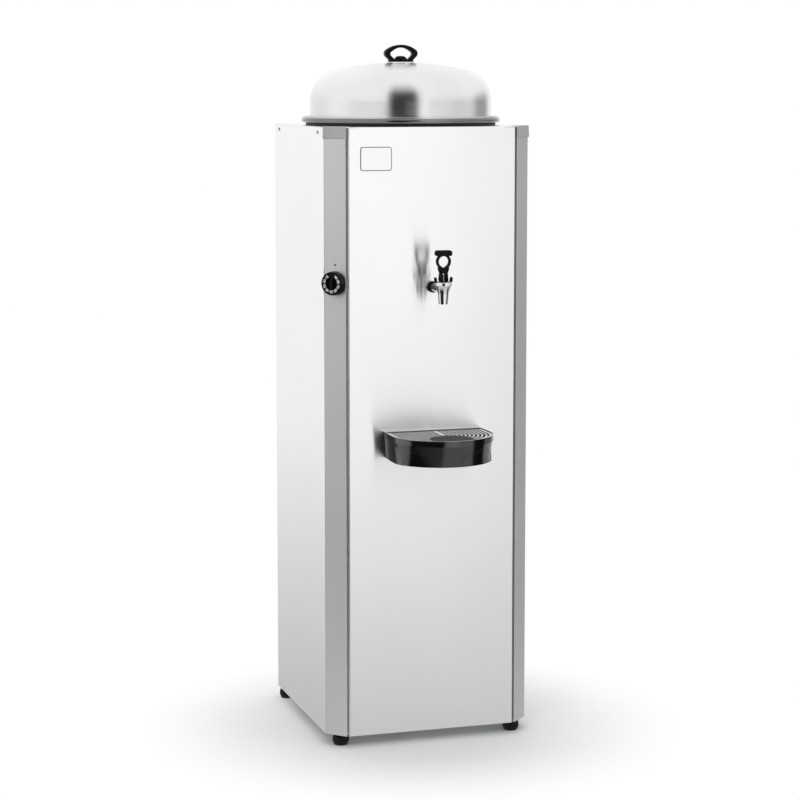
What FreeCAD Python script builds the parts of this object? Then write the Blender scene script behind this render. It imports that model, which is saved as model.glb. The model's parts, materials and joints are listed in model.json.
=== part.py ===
import FreeCAD, Part

import math
import os

from FreeCAD import Placement, Rotation, Vector

# Free-standing hot water dispenser: a square steel cabinet on four screw feet, an open
# heated tank under a domed lid, a self-closing tap, a thermostat knob on the left corner
# post and a lift-off drip tray.
#
# Millimetres, +Z up. The floor is z = 0, the front looks towards -Y, x = 0 is the
# cabinet's middle plane and y = 0 lies midway between the drip tray's front and the cable
# gland's end.

# Cabinet
cabinet_width = 400.0
cabinet_depth = 400.0
panel_height = 1141.0
corner_cut = 34.0
sheet = 1.0
top_sheet = 1.2
bend_radius = 2.5
joint_line = 0.5
fit_gap = 0.3
groove_width = 3.3
front_return = 11.0
rear_return = 15.0
lip_depth = 9.0
lip_relief = 5.0

# Corner posts and their caps
post_wall = 1.5
post_edge_radius = 0.8
post_flange = 18.0
post_side_flange = 23.0
cap_height = 21.0
cap_top_proud = 1.2
cap_bottom_proud = 2.4
cap_bevel = 2.5
cap_nose = 1.2
cap_edge_radius = 0.8
cap_lid = 1.2
cap_reach = 12.0

# Top plate
top_flange_height = 18.0
top_flange_end = 24.0
top_corner_radius = 1.0

# Base pan and rails
pan_sheet = 1.5
pan_wall = 30.0
pan_corner_radius = 3.0
pan_fold_radius = 1.0
rail_sheet = 1.5
rail_width = 30.0
rail_height = 20.0
rail_flange = 12.0
rail_offset = 60.0

# Rear panel
rear_margin = 3.0
louvre_count = 7
louvre_length = 70.0
louvre_radius = 5.0
louvre_pitch = 16.0
louvre_height = 160.0
louvre_side = 95.0
rear_screw_count = 4
rear_screw_end = 45.0

# Tank
tank_space = 30.0
tank_wall = 1.0
tank_depth = 345.0
tank_corner = 22.0
shelf_height = 12.0
shelf_radius = 2.5
rim_margin = 11.5
rim_rise = 4.5
rim_bead = 2.6
rim_bead_drop = 2.0
rim_skirt = 6.8
rim_taper = 4.2
gasket_gap = 1.5
gasket_width = 10.0
jacket_thickness = 16.0
jacket_gap = 0.5
jacket_height = 300.0
jacket_edge_radius = 3.0
sensor_slot_width = 12.0
sensor_slot_below = 10.0
sensor_slot_above = 35.0
socket_wall = 4.0
socket_start = 8.0
socket_slack = 1.0

# Domed lid
lid_margin = 26.0
lid_sheet = 1.0
lid_flange = 10.0
lid_wall = 33.7
lid_corner = 60.0
crown_radius = 547.5
plateau_radius = 30.0
plateau_rise = 1.5
plateau_edge = 1.5

# Lid handle
handle_base = 48.0
handle_foot = 4.0
handle_waist = 38.0
handle_waist_height = 17.5
handle_waist_radius = 9.0
handle_crest = 43.5
handle_crest_radius = 50.0
handle_depth = 14.0
handle_edge = 2.4
handle_arm = 13.5
handle_base_arm = 12.0
handle_inner_drop = 1.5
handle_inner_waist_radius = 4.5
handle_inner_crest = 32.8
handle_inner_radius = 26.0
handle_button = 12.2
handle_button_round = 8.0
handle_button_height = 11.5
lid_screw_radius = 1.92
lid_screw_hold = 7.5
lid_screw_head = 4.0
lid_screw_head_height = 2.6
lid_washer_radius = 9.0
lid_washer_height = 1.2

# Tap
tap_height = 867.0
tap_reach = 65.0
tap_spout_drop = 26.5
tap_spout_radius = 8.5
tap_waist_radius = 9.6
tap_waist_drop = 12.0
tap_flare_radius = 11.4
tap_flare_drop = 1.0
tap_crown_radius = 15.6
tap_crown = 14.0
tap_ring_height = 6.5
tap_ring_radius = 16.0
tap_ring_bevel = 0.6
tap_neck_radius = 10.4
tap_neck_length = 13.0
spout_bore = 6.5
seat_bore = 4.6
seat_drop = 10.0
seat_ledge = 2.0
chamber_radius = 8.0
shank_radius = 8.0
shank_bore = 4.5
shank_tail = 1.0
washer_radius = 12.4
washer_thickness = 1.6
collar_radius = 10.6
collar_nose_radius = 9.6
collar_length = 10.0
collar_taper = 3.0
collar_groove = 0.7
collar_groove_start = 3.8
collar_groove_end = 4.8
lock_nut_across = 24.0
bonnet_recess = 4.5
bonnet_height = 5.0
bonnet_spigot = 4.5
bonnet_spigot_wall = 2.2
bonnet_radius = 13.6
ear_radius = 17.0
ear_height = 8.5
ear_width = 4.4
ear_depth = 6.0
ear_flare = 0.6
ear_lean = 1.5
stem_radius = 3.0
running_fit = 0.05
cup_radius = 7.0
cup_top_radius = 6.2
cup_floor = 1.5
cup_height = 5.0
spring_seat_radius = 5.2
spring_seat = 1.0
valve_gap = 0.3
spring_radius = 5.6
spring_wire = 0.45
spring_turns = 5
stem_head = 2.6

# Tap lever
pin_rise = 25.0
pin_radius = 1.5
heel_gap = 0.25
lift_per_radian = 3.5
lever_sweep = 40.0
lever_hub_width = 13.0
lever_hub_top = 3.0
lever_shoulder_half = 10.3
lever_shoulder_drop = 1.0
lever_neck_half = 9.3
lever_neck_drop = 8.0
lever_slot_gap = 0.4
lever_slot_head = 5.0
lever_heel_steps = 6
lever_pin_inset = 0.5
lever_ring_rise = 51.8
lever_ring_radius = 13.7
lever_hole_radius = 10.0
lever_hole_point = 39.8
lever_thickness = 7.0
lever_bar_width = 31.5
lever_bar_height = 10.6
lever_bar_depth = 10.0
lever_bar_low_radius = 4.0
lever_bar_top_radius = 5.0
bar_groove_width = 23.0
bar_groove_height = 2.6
bar_groove_drop = 5.6
bar_groove_depth = 0.8
lever_top = 72.5

# Thermostat and its knob
knob_height = 877.0
knob_radius = 21.65
knob_draft = 0.6
knob_thickness = 13.6
knob_gap = 0.5
knob_edge = 1.4
scoop_radius = 12.2
scoop_depth = 6.0
scoop_corner = 2.0
grip_bar = 5.4
knob_wall = 2.0
knob_floor = 2.0
knob_socket_wall = 3.0
knob_socket_end = 3.0
spindle_radius = 3.0
spindle_flat = 1.5
spindle_flat_start = 0.3
spindle_end_gap = 0.2
spindle_root = 8.0
thermostat_side_gap = 0.8
thermostat_height = 44.0
thermostat_depth = 30.0
thermostat_corner = 3.0
thermostat_bush = 5.0
thermostat_bush_drop = 0.2
tab_length = 7.0
tab_width = 6.0
tab_thickness = 0.8
tab_pitch = 8.0
tab_setback = 18.0
bulb_radius = 3.2
bulb_length = 80.0
bulb_height = 852.0
capillary_radius = 0.9
capillary_bend = 12.0
capillary_rise = 20.0

# Heating element
element_radius = 4.2
element_loop = 100.0
element_height = 30.0
element_bend = 14.0
element_gap_angle = 14.0
bushing_radius = 7.0
bushing_head_across = 18.0
bushing_head_height = 5.0
bushing_length = 22.0
element_nut_across = 22.0
element_nut_height = 6.0
element_tail = 30.0

# Safety cut-out
cutout_x = -70.0
cutout_offset = 105.0
cutout_radius = 8.0
cutout_height = 14.0
cutout_flange_radius = 12.0
cutout_flange_height = 3.0
cutout_tab_offset = 4.0

# Drip tray, its grid and its bracket
tray_top = 599.0
tray_height = 50.0
tray_reach = 151.0
tray_half_width = 96.5
tray_back_width = 94.0
tray_widest = 60.0
tray_corner = 60.0
tray_foot_reach = 139.0
tray_foot_half_width = 93.0
tray_foot_back_width = 90.5
tray_wall = 2.5
tray_floor = 3.0
tray_band = 11.0
tray_step = 1.5
tray_ledge = 2.5
tray_ledge_drop = 4.4
grid_sheet = 3.0
grid_gap = 0.6
grid_border = 4.0
ring_pitch = 7.6
ring_middle = 67.0
ring_slot = 4.0
ring_count = 11
rib_angle = 50
rib_width = 1.8
rib_depth = 1.5
fan_radius = 40.0
fan_centre = 36.0
ray_count = 7
ray_start = 14.0
ray_width = 1.4
ray_depth = 0.7
arch_half_width = 50.0
arch_rise = 30.0
arch_line = 2.2
arch_proud = 0.7
arch_centre = 72.0
bracket_width = 104.0
bracket_sheet = 1.5
bracket_standoff = 3.0
bracket_height = 36.0
bracket_jog = 2.0
bracket_screw_spacing = 69.0
hook_depth = 14.0
hook_sheet = 2.0
hook_bridge = 3.0
hook_play = 0.5
hook_end_gap = 2.0

# Feet
foot_height = 22.0
foot_radius = 16.0
foot_tread = 13.0
foot_widest = 8.0
foot_shoulder_radius = 15.2
foot_shoulder = 16.0
foot_neck_radius = 9.0
foot_neck = 19.5
foot_flutes = 10
foot_flute_radius = 3.0
foot_flute_reach = 17.6
foot_flute_start = 3.0
foot_socket = 8.0
foot_stud_radius = 4.0
foot_stud_length = 26.0
foot_nut_across = 13.0
foot_nut_height = 6.5
foot_gap = 0.5
front_foot_side_inset = 29.5
front_foot_inset = 32.0
rear_foot_inset = 16.0

# Cable entry
gland_height = 70.0
gland_x = 120.0
gland_bore = 4.5
gland_thread = 8.5
gland_thread_length = 9.0
gland_across = 21.0
gland_flange = 4.0
gland_nut_radius = 9.5
gland_nut_length = 5.0
gland_reach = 14.0
gland_lip = 2.0
gland_lock_across = 22.0
gland_lock_height = 4.0

# Terminal block
terminal_ways = 5
terminal_pitch = 11.0
terminal_length = 60.0
terminal_width = 28.0
terminal_height = 22.0
terminal_inset = 92.0
terminal_well_radius = 2.6
terminal_well_depth = 8.0
terminal_row_spacing = 16.0
terminal_notch_width = 2.0
terminal_notch_depth = 5.0

# Fasteners
screw_radius = 2.0
screw_head = 3.4
screw_head_height = 1.6
screw_length = 8.0
side_screw_drop = 10.0
side_screw_front = 74.0
side_screw_rear = 38.0

# Places that follow from the sizes above
cabinet_y = (tray_reach - gland_reach) / 2
half_width = cabinet_width / 2
half_span = min(cabinet_width, cabinet_depth) / 2
front_y = cabinet_y - cabinet_depth / 2
rear_y = cabinet_y + cabinet_depth / 2
base_z = foot_height
top_z = base_z + panel_height
panel_top = top_z - top_sheet - joint_line
inner_x = half_width - sheet
inner_front = front_y + sheet
pan_z = base_z + sheet + fit_gap
shelf_z = top_z + shelf_height
tank_floor = shelf_z - tank_depth
tank_radius = half_span - tank_space
tank_outer = tank_radius + tank_wall
rim_radius = half_span - rim_margin
lid_radius = half_span - lid_margin
tap_y = front_y - tap_reach
bonnet_floor = tap_height + tap_crown - bonnet_recess
bonnet_top = bonnet_floor + bonnet_height
pin_z = tap_height + pin_rise
tray_bottom = tray_top - tray_height
tray_back = front_y - fit_gap
hook_back = bracket_standoff + bracket_sheet + 2 * fit_gap
bonnet_spigot_radius = chamber_radius + bonnet_spigot_wall
stem_foot = tap_height - seat_drop + valve_gap
cup_top = stem_foot + cup_height
grid_back = tray_back - hook_back - tray_wall
bracket_bottom = tray_top - hook_bridge - fit_gap - bracket_height
gland_z = base_z + gland_height
slope = math.sqrt(0.5)
post_room = (corner_cut - front_return - fit_gap - 2 * post_wall) * slope

X = Vector(1, 0, 0)
Y = Vector(0, 1, 0)
Z = Vector(0, 0, 1)


# Shape helpers

def box(x, y, z):
    """Block between three (low, high) pairs."""
    return Part.makeBox(x[1] - x[0], y[1] - y[0], z[1] - z[0], Vector(x[0], y[0], z[0]))


def rod(radius, start, end):
    """Round bar from one point to another."""
    return Part.makeCylinder(radius, (end - start).Length, start, end - start)


def tube(outer, inner, start, end):
    """Round bar with a round bore along it."""
    return rod(outer, start, end).cut(rod(inner, start, end))


def flat_wire(corners, plane):
    """Closed wire through (u, v, radius) corners, each rounded by its radius."""
    points = [plane(u, v) for u, v, _ in corners]
    edges = []
    starts = []
    ends = []
    for i, (corner, radius) in enumerate(zip(points, [c[2] for c in corners])):
        if radius == 0:
            starts.append(corner)
            ends.append(corner)
            continue
        back = (points[i - 1] - corner).normalize()
        ahead = (points[(i + 1) % len(points)] - corner).normalize()
        half_angle = back.getAngle(ahead) / 2
        reach = radius / math.tan(half_angle)
        bisector = (back + ahead).normalize()
        middle = corner + bisector * (radius / math.sin(half_angle) - radius)
        starts.append(corner + back * reach)
        ends.append(corner + ahead * reach)
        edges.append(Part.Arc(starts[-1], middle, ends[-1]).toShape())
    for i, end in enumerate(ends):
        start = starts[(i + 1) % len(starts)]
        if (start - end).Length > 1e-6:
            edges.append(Part.LineSegment(end, start).toShape())
    return Part.Wire(Part.__sortEdges__(edges))


def turned(corners, centre=Vector(0, 0, 0), axis=Z):
    """Solid of revolution of (radius, height, corner radius) corners about an axis."""
    wire = flat_wire(corners, lambda u, v: Vector(u, 0, v))
    solid = Part.Face(wire).revolve(Vector(0, 0, 0), Z, 360)
    solid.Placement = Placement(centre, Rotation(Z, axis))
    return solid


def prism(corners, low, high):
    """Upright prism of (x, y, corner radius) corners between two heights."""
    wire = flat_wire(corners, lambda u, v: Vector(u, v, low))
    return Part.Face(wire).extrude(Vector(0, 0, high - low))


def profile_x(corners, low, high):
    """Prism along X of (y, z, corner radius) corners."""
    wire = flat_wire(corners, lambda u, v: Vector(low, u, v))
    return Part.Face(wire).extrude(Vector(high - low, 0, 0))


def profile_y(corners, low, high):
    """Prism along Y of (x, z, corner radius) corners."""
    wire = flat_wire(corners, lambda u, v: Vector(u, low, v))
    return Part.Face(wire).extrude(Vector(0, high - low, 0))


def hexagon(across, start, end, bore=0.0):
    """Hexagonal bar of a width across its flats, with an optional bore."""
    length = (end - start).Length
    corner = across / math.sqrt(3)
    points = [(corner * math.cos(math.radians(60 * i)), corner * math.sin(math.radians(60 * i)), 0)
              for i in range(6)]
    bar = prism(points, 0, length)
    bar.Placement = Placement(start, Rotation(Z, end - start))
    if bore:
        bar = bar.cut(rod(bore, start, end))
    return bar


def mirrored(shape):
    """The same piece on the other side of the middle plane."""
    return shape.mirror(Vector(0, 0, 0), X)


def bent_tube(radius, points, bends):
    """Round tube along straight runs joined by tangent arcs of the given radii."""
    edges = []
    last = points[0]
    for before, corner, after, bend in zip(points, points[1:], points[2:], bends):
        back = (before - corner).normalize()
        ahead = (after - corner).normalize()
        half_angle = back.getAngle(ahead) / 2
        start = corner + back * (bend / math.tan(half_angle))
        end = corner + ahead * (bend / math.tan(half_angle))
        middle = corner + (back + ahead).normalize() * (bend / math.sin(half_angle) - bend)
        edges.append(Part.LineSegment(last, start).toShape())
        edges.append(Part.Arc(start, middle, end).toShape())
        last = end
    edges.append(Part.LineSegment(last, points[-1]).toShape())
    return sweep(radius, edges, points[0], points[1] - points[0])


def sweep(radius, edges, start, direction):
    """Round section carried along joined edges."""
    section = Part.Wire([Part.makeCircle(radius, start, direction)])
    return Part.Wire(edges).makePipeShell([section], True, False)


def pan_screw(point, direction):
    """Screw with a domed head outside the point, its shank running in along the direction."""
    shank = rod(screw_radius, point, point + direction * screw_length)
    head = turned([(0, 0, 0), (screw_head, 0, 0), (screw_head, screw_head_height, 1.2),
                   (0, screw_head_height, 0)], point, direction * -1)
    return head.fuse(shank).removeSplitter()


def screw_hole(point, direction):
    """Clearance hole for a screw through the sheets at a point."""
    start = point - direction * screw_length
    return rod(screw_radius + running_fit, start, point + direction * (screw_length + fit_gap))


# Cabinet panels

def side_screw_points():
    """Heads of the screws that hold the left side panel to the top plate."""
    z = top_z - side_screw_drop
    return [Vector(-half_width, y, z) for y in (front_y + side_screw_front, rear_y - side_screw_rear)]


def tray_screw_points():
    """Heads of the screws that hold the tray's bracket to the front panel."""
    z = bracket_bottom + (bracket_height - hook_depth) / 2
    half = bracket_screw_spacing / 2
    return [Vector(x, front_y - bracket_sheet, z) for x in (-half, half)]


def front_panel():
    """Sheet with rounded folds at both long edges and a lip along its foot."""
    half = half_width - corner_cut - groove_width
    back = front_y + front_return
    inside = bend_radius - sheet
    shell = prism([(-half, back, 0), (-half, front_y, bend_radius), (half, front_y, bend_radius),
                   (half, back, 0), (half - sheet, back, 0), (half - sheet, inner_front, inside),
                   (-half + sheet, inner_front, inside), (-half + sheet, back, 0)], base_z, panel_top)
    lip = box((-half + lip_relief, half - lip_relief),
              (front_y + sheet / 2, front_y + lip_depth), (base_z, base_z + sheet))
    shell = shell.fuse(lip)
    shell = shell.cut(rod(shank_radius + fit_gap, Vector(0, front_y - sheet, tap_height),
                          Vector(0, front_y + 2 * sheet, tap_height)))
    for point in tray_screw_points():
        shell = shell.cut(screw_hole(point, Y))
    return shell.removeSplitter()


def side_panel():
    """Left side sheet: flush with the corner post, folded inwards at its rear edge and foot."""
    front = front_y + corner_cut + fit_gap
    back = rear_y - sheet
    fold = -half_width + rear_return
    shell = prism([(-half_width, front, 0), (-half_width, back, bend_radius), (fold, back, 0),
                   (fold, back - sheet, 0), (-inner_x, back - sheet, bend_radius - sheet),
                   (-inner_x, front, 0)], base_z, panel_top)
    lip = box((-half_width + sheet / 2, -half_width + lip_depth),
              (front + post_side_flange, back - lip_relief), (base_z, base_z + sheet))
    shell = shell.fuse(lip)
    for point in side_screw_points():
        shell = shell.cut(screw_hole(point, X))
    for point in rear_screw_points():
        shell = shell.cut(screw_hole(point, Y * -1))
    return shell.removeSplitter()


def rear_screw_points():
    """Heads of the screws that hold the rear panel to the left side panel's fold."""
    x = -half_width + rear_return - 2 * screw_radius
    pitch = (panel_top - base_z - 2 * rear_screw_end) / (rear_screw_count - 1)
    return [Vector(x, rear_y, base_z + rear_screw_end + i * pitch) for i in range(rear_screw_count)]


def louvre(x, z):
    """Pressed hood with rounded ends, open along its lower side, and the slot under it."""
    half = louvre_length / 2 - louvre_radius
    ends = [Vector(x - half, rear_y - sheet, z), Vector(x + half, rear_y - sheet, z)]
    hood = rod(louvre_radius, *ends)
    hollow = rod(louvre_radius - sheet, *ends)
    for end in ends:
        hood = hood.fuse(Part.makeSphere(louvre_radius, end))
        hollow = hollow.fuse(Part.makeSphere(louvre_radius - sheet, end))
    reach = (x - louvre_length / 2, x + louvre_length / 2)
    outside = box(reach, (rear_y - sheet, rear_y + louvre_radius), (z, z + louvre_radius))
    slot = hollow.common(box(reach, (rear_y - 2 * sheet, rear_y + louvre_radius), (z - 1, z + louvre_radius)))
    return hood.common(outside), slot


def rear_panel():
    """Flat screwed-on back with two banks of louvres and the cable gland's hole."""
    half = half_width - rear_margin
    plate = box((-half, half), (rear_y - sheet, rear_y), (base_z + rear_margin, panel_top - rear_margin))
    for side in (-1, 1):
        for i in range(louvre_count):
            hood, slot = louvre(side * louvre_side, base_z + louvre_height + i * louvre_pitch)
            plate = plate.fuse(hood).cut(slot)
    plate = plate.cut(rod(gland_thread + fit_gap, Vector(gland_x, rear_y - 2 * sheet, gland_z),
                          Vector(gland_x, rear_y + sheet, gland_z)))
    for point in rear_screw_points():
        for x in (-1, 1):
            plate = plate.cut(screw_hole(Vector(x * -point.x, point.y, point.z), Y * -1))
    return plate.removeSplitter()


def corner_post():
    """Left front post: an extruded section with a 45 degree face and two flanges."""
    cut_x = -half_width + corner_cut
    cut_y = front_y + corner_cut
    back = front_y + front_return + fit_gap
    inner_line = cut_x + front_y + post_wall / slope
    wall_x = cut_x - post_wall
    flange_x = -inner_x + fit_gap
    inner_flange = flange_x + post_wall
    section = [(-half_width, cut_y, post_edge_radius), (cut_x, front_y, post_edge_radius), (cut_x, back, 0),
               (cut_x + post_flange, back, 0), (cut_x + post_flange, back + post_wall, 0),
               (wall_x, back + post_wall, 0), (wall_x, inner_line - wall_x, 0),
               (inner_flange, inner_line - inner_flange, 0), (inner_flange, cut_y + post_side_flange, 0),
               (flange_x, cut_y + post_side_flange, 0), (flange_x, cut_y, 0)]
    return prism(section, base_z, top_z - top_sheet - fit_gap)


def thermostat_centre():
    """Middle of the thermostat behind the left post's face, at the floor's height."""
    depth = post_wall + fit_gap + thermostat_depth / 2
    return Vector(-half_width + corner_cut / 2 + depth * slope, front_y + corner_cut / 2 + depth * slope, 0)


def bush_hole():
    """Hole through the left post's face for the thermostat's bush."""
    return on_post(rod(thermostat_bush + fit_gap, Vector(0, 0, -3 * post_wall), Vector(0, 0, post_wall)))


def corner_cap():
    """Left cap: a wedge on the post's face with a bevelled foot and a tongue over the top plate."""
    length = corner_cut / slope
    low = top_z - cap_height
    outline = [(0, low, 0), (cap_nose, low, 0),
               (cap_bottom_proud, low + cap_bevel, cap_edge_radius),
               (cap_top_proud, top_z + cap_lid, cap_edge_radius),
               (-cap_reach, top_z + cap_lid, 0), (-cap_reach, top_z, 0), (0, top_z, 0)]
    cap = profile_x([(-u, v, r) for u, v, r in outline], -length / 2, length / 2)
    centre = Vector(-half_width + corner_cut / 2, front_y + corner_cut / 2, 0)
    cap.Placement = Placement(centre, Rotation(Z, -45))
    return cap


def top_plate():
    """Flat top with cut front corners, a round opening for the tank and flanges turned down inside."""
    cut_x = half_width - corner_cut
    cut_y = front_y + corner_cut
    corners = [(-half_width, cut_y), (-cut_x, front_y), (cut_x, front_y), (half_width, cut_y),
               (half_width, rear_y), (-half_width, rear_y)]
    outline = [(u, v, top_corner_radius) for u, v in corners]
    low = top_z - top_sheet
    plate = prism(outline, low, top_z)
    drop = (low - top_flange_height, low)
    side = half_width - sheet - fit_gap
    deep = (cut_y + post_side_flange + fit_gap, rear_y - top_flange_end)
    plate = plate.fuse(box((-side, -side + top_sheet), deep, drop))
    plate = plate.fuse(box((side - top_sheet, side), deep, drop))
    wide = (-cut_x + top_flange_end, cut_x - top_flange_end)
    front = inner_front + fit_gap
    plate = plate.fuse(box(wide, (front, front + top_sheet), drop))
    rear = rear_y - 2 * sheet - fit_gap
    plate = plate.fuse(box(wide, (rear - top_sheet, rear), drop))
    hole = rod(tank_outer + joint_line, Vector(0, cabinet_y, low - 1), Vector(0, cabinet_y, top_z + 1))
    plate = plate.cut(hole)
    for point in side_screw_points():
        plate = plate.cut(screw_hole(point, X))
        plate = plate.cut(mirrored(screw_hole(point, X)))
    return plate.removeSplitter()


def base_pan():
    """Tray-shaped floor of the cabinet, standing inside the panels on their lips."""
    inset = front_return + post_wall + 2 * fit_gap
    side_inset = sheet + post_wall + 2 * fit_gap
    x = half_width - side_inset
    front = front_y + inset
    rear = rear_y - 2 * sheet - fit_gap
    cut = corner_cut + (post_wall + fit_gap) / slope - side_inset - inset

    def outline(inward):
        edge = x - inward
        corner = cut - (2 - 1 / slope) * inward
        low = front + inward
        return [(-edge, low + corner, pan_fold_radius), (-edge + corner, low, pan_fold_radius),
                (edge - corner, low, pan_fold_radius), (edge, low + corner, pan_fold_radius),
                (edge, rear - inward, pan_corner_radius), (-edge, rear - inward, pan_corner_radius)]

    pan = prism(outline(0), pan_z, pan_z + pan_wall)
    pan = pan.cut(prism(outline(pan_sheet), pan_z + pan_sheet, pan_z + pan_wall + 1))
    for x_foot, y_foot in foot_places():
        pan = pan.cut(rod(foot_stud_radius + running_fit, Vector(x_foot, y_foot, pan_z - 1),
                          Vector(x_foot, y_foot, pan_z + 2 * pan_sheet)))
    return pan.removeSplitter()


# Tank, its rails, gasket and jacket

def tank_shell():
    """Drawn tank with a rounded foot, a flat shelf for the lid and a rolled rim."""
    low = tank_floor - tank_wall
    shelf = shelf_z
    under = shelf - tank_wall
    skirt = top_z + shelf_height - rim_skirt
    bead = rim_radius - rim_bead
    crest = shelf + rim_rise
    outline = [(0, low, 0), (tank_outer, low, tank_corner + tank_wall),
               (tank_outer, under, shelf_radius - tank_wall), (bead - tank_wall, under, 0),
               (rim_radius - rim_taper - tank_wall, skirt, 0), (rim_radius - rim_taper, skirt, 0.3),
               (rim_radius, crest - rim_bead_drop, 0), (rim_radius, crest, 1.0),
               (bead, crest, 1.0), (bead, shelf, 0.5), (tank_radius, shelf, shelf_radius),
               (tank_radius, tank_floor, tank_corner), (0, tank_floor, 0)]
    shell = turned(outline, Vector(0, cabinet_y, 0))
    for leg in element_legs():
        start = Vector(leg.x, leg.y, low - 1)
        shell = shell.cut(rod(bushing_radius + running_fit, start, start + Z * (tank_wall + 2)))
    bore = rod(shank_radius + running_fit, Vector(0, tap_y, tap_height), Vector(0, cabinet_y, tap_height))
    return shell.cut(bore)


def tank_socket():
    """Short tube from the tank's wall towards the front panel, saddled to the wall, for the tap's shank."""
    outer = shank_radius + socket_wall
    socket = tube(outer, shank_radius + running_fit, Vector(0, front_y + socket_start, tap_height),
                  Vector(0, cabinet_y - tank_radius + socket_wall, tap_height))
    return socket.cut(rod(tank_outer, Vector(0, cabinet_y, tap_height - 2 * outer),
                          Vector(0, cabinet_y, tap_height + 2 * outer)))


def rim_gasket():
    """Soft ring between the cabinet's top and the underside of the rolled rim's shelf."""
    centre = Vector(0, cabinet_y, 0)
    inner = tank_outer + gasket_gap
    outer = inner + gasket_width
    high = shelf_z - tank_wall
    return turned([(inner, top_z, 0), (outer, top_z, 1), (outer, high, 1), (inner, high, 0)], centre)


def insulation_jacket():
    """Thick sleeve round the tank, with a hole for the socket and a slot for the sensor bulb."""
    inner = tank_outer + jacket_gap
    outer = inner + jacket_thickness
    low = tank_floor + tank_corner
    centre = Vector(0, cabinet_y, 0)
    high = low + jacket_height
    sleeve = turned([(inner, low, 0), (outer, low, jacket_edge_radius), (outer, high, jacket_edge_radius),
                     (inner, high, 0)], centre)
    sleeve = sleeve.cut(rod(shank_radius + socket_wall + socket_slack, Vector(0, front_y, tap_height),
                            Vector(0, cabinet_y, tap_height)))
    half = sensor_slot_width / 2
    slot = box((tank_radius, outer + 1), (-half, half),
               (bulb_height - sensor_slot_below, bulb_height + bulb_length + sensor_slot_above))
    slot.Placement = Placement(centre, Rotation(X, thermostat_centre() - centre))
    return sleeve.cut(slot)


def tank_rail(y):
    """Hat-section cross rail under the tank, reaching both side panels."""
    top = tank_floor - tank_wall
    low = top - rail_height
    half = rail_width / 2
    brim = half + rail_flange
    t = rail_sheet
    outline = [(-brim, low, 0), (-half + t, low, 0.5), (-half + t, top - t, 0.5), (half - t, top - t, 0.5),
               (half - t, low, 0.5), (brim, low, 0), (brim, low + t, 0), (half, low + t, 0.5),
               (half, top, 2), (-half, top, 2), (-half, low + t, 0.5), (-brim, low + t, 0)]
    end = inner_x - fit_gap
    return profile_x([(y + u, v, r) for u, v, r in outline], -end, end)


# Heating element in the tank's floor

def element_legs():
    """Upright legs of the element, either side of the loop's gap at the rear."""
    half_gap = math.radians(element_gap_angle)
    x = element_loop * math.sin(half_gap) - element_bend * math.cos(half_gap)
    y = element_loop * math.cos(half_gap) + element_bend * math.sin(half_gap)
    return [Vector(side * x, cabinet_y + y, 0) for side in (-1, 1)]


def heating_element():
    """Sheathed tube: up one leg, round a flat loop over the tank's floor and down the other leg."""
    z = tank_floor + element_height
    low = tank_floor - tank_wall - element_tail
    half_gap = math.radians(element_gap_angle)

    def on_loop(angle):
        return Vector(element_loop * math.sin(angle), cabinet_y + element_loop * math.cos(angle), z)

    legs = element_legs()
    start = on_loop(half_gap)
    end = on_loop(-half_gap)
    loop = Part.Arc(start, on_loop(math.pi), end).toShape()
    edges = []
    bends = []
    for leg, contact in ((legs[1], start), (legs[0], end)):
        corner = Vector(leg.x, leg.y, z)
        foot = corner - Z * element_bend
        ahead = (contact - corner).normalize()
        middle = corner + (ahead - Z).normalize() * element_bend * (math.sqrt(2) - 1)
        bends.append((Vector(leg.x, leg.y, low), foot, middle, contact))
    first, second = bends
    edges.append(Part.LineSegment(first[0], first[1]).toShape())
    edges.append(Part.Arc(first[1], first[2], first[3]).toShape())
    edges.append(loop)
    edges.append(Part.Arc(second[3], second[2], second[1]).toShape())
    edges.append(Part.LineSegment(second[1], second[0]).toShape())
    return sweep(element_radius, edges, first[0], Z)


def element_bushings():
    """Brass bushing on each leg: a hexagon inside the tank and a barrel down through its floor."""
    pieces = []
    for leg in element_legs():
        floor = Vector(leg.x, leg.y, tank_floor)
        bore = element_radius + running_fit
        head = hexagon(bushing_head_across, floor, floor + Z * bushing_head_height, bore)
        barrel = tube(bushing_radius, bore, floor - Z * bushing_length, floor)
        pieces.append(head.fuse(barrel).removeSplitter())
    return Part.Compound(pieces)


def element_nuts():
    """Nut under the tank's floor on each bushing."""
    pieces = []
    for leg in element_legs():
        under = Vector(leg.x, leg.y, tank_floor - tank_wall)
        pieces.append(hexagon(element_nut_across, under - Z * element_nut_height, under,
                              bushing_radius + running_fit))
    return Part.Compound(pieces)


def safety_cutout():
    """Snap-disc cut-out clamped under the tank's floor, with two terminal tabs."""
    top = tank_floor - tank_wall
    low = top - cutout_height
    y = cabinet_y + cutout_offset
    body = turned([(0, -cutout_height, 0), (cutout_radius, -cutout_height, 1),
                   (cutout_radius, -cutout_flange_height, 0),
                   (cutout_flange_radius, -cutout_flange_height, 0),
                   (cutout_flange_radius, 0, 0.5), (0, 0, 0)], Vector(cutout_x, y, top))
    for x in (cutout_x - cutout_tab_offset, cutout_x + cutout_tab_offset):
        body = body.fuse(box((x - tab_thickness / 2, x + tab_thickness / 2),
                             (y - tab_width / 2, y + tab_width / 2), (low - tab_length, low + 1)))
    return body.removeSplitter()


# Tap

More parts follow.
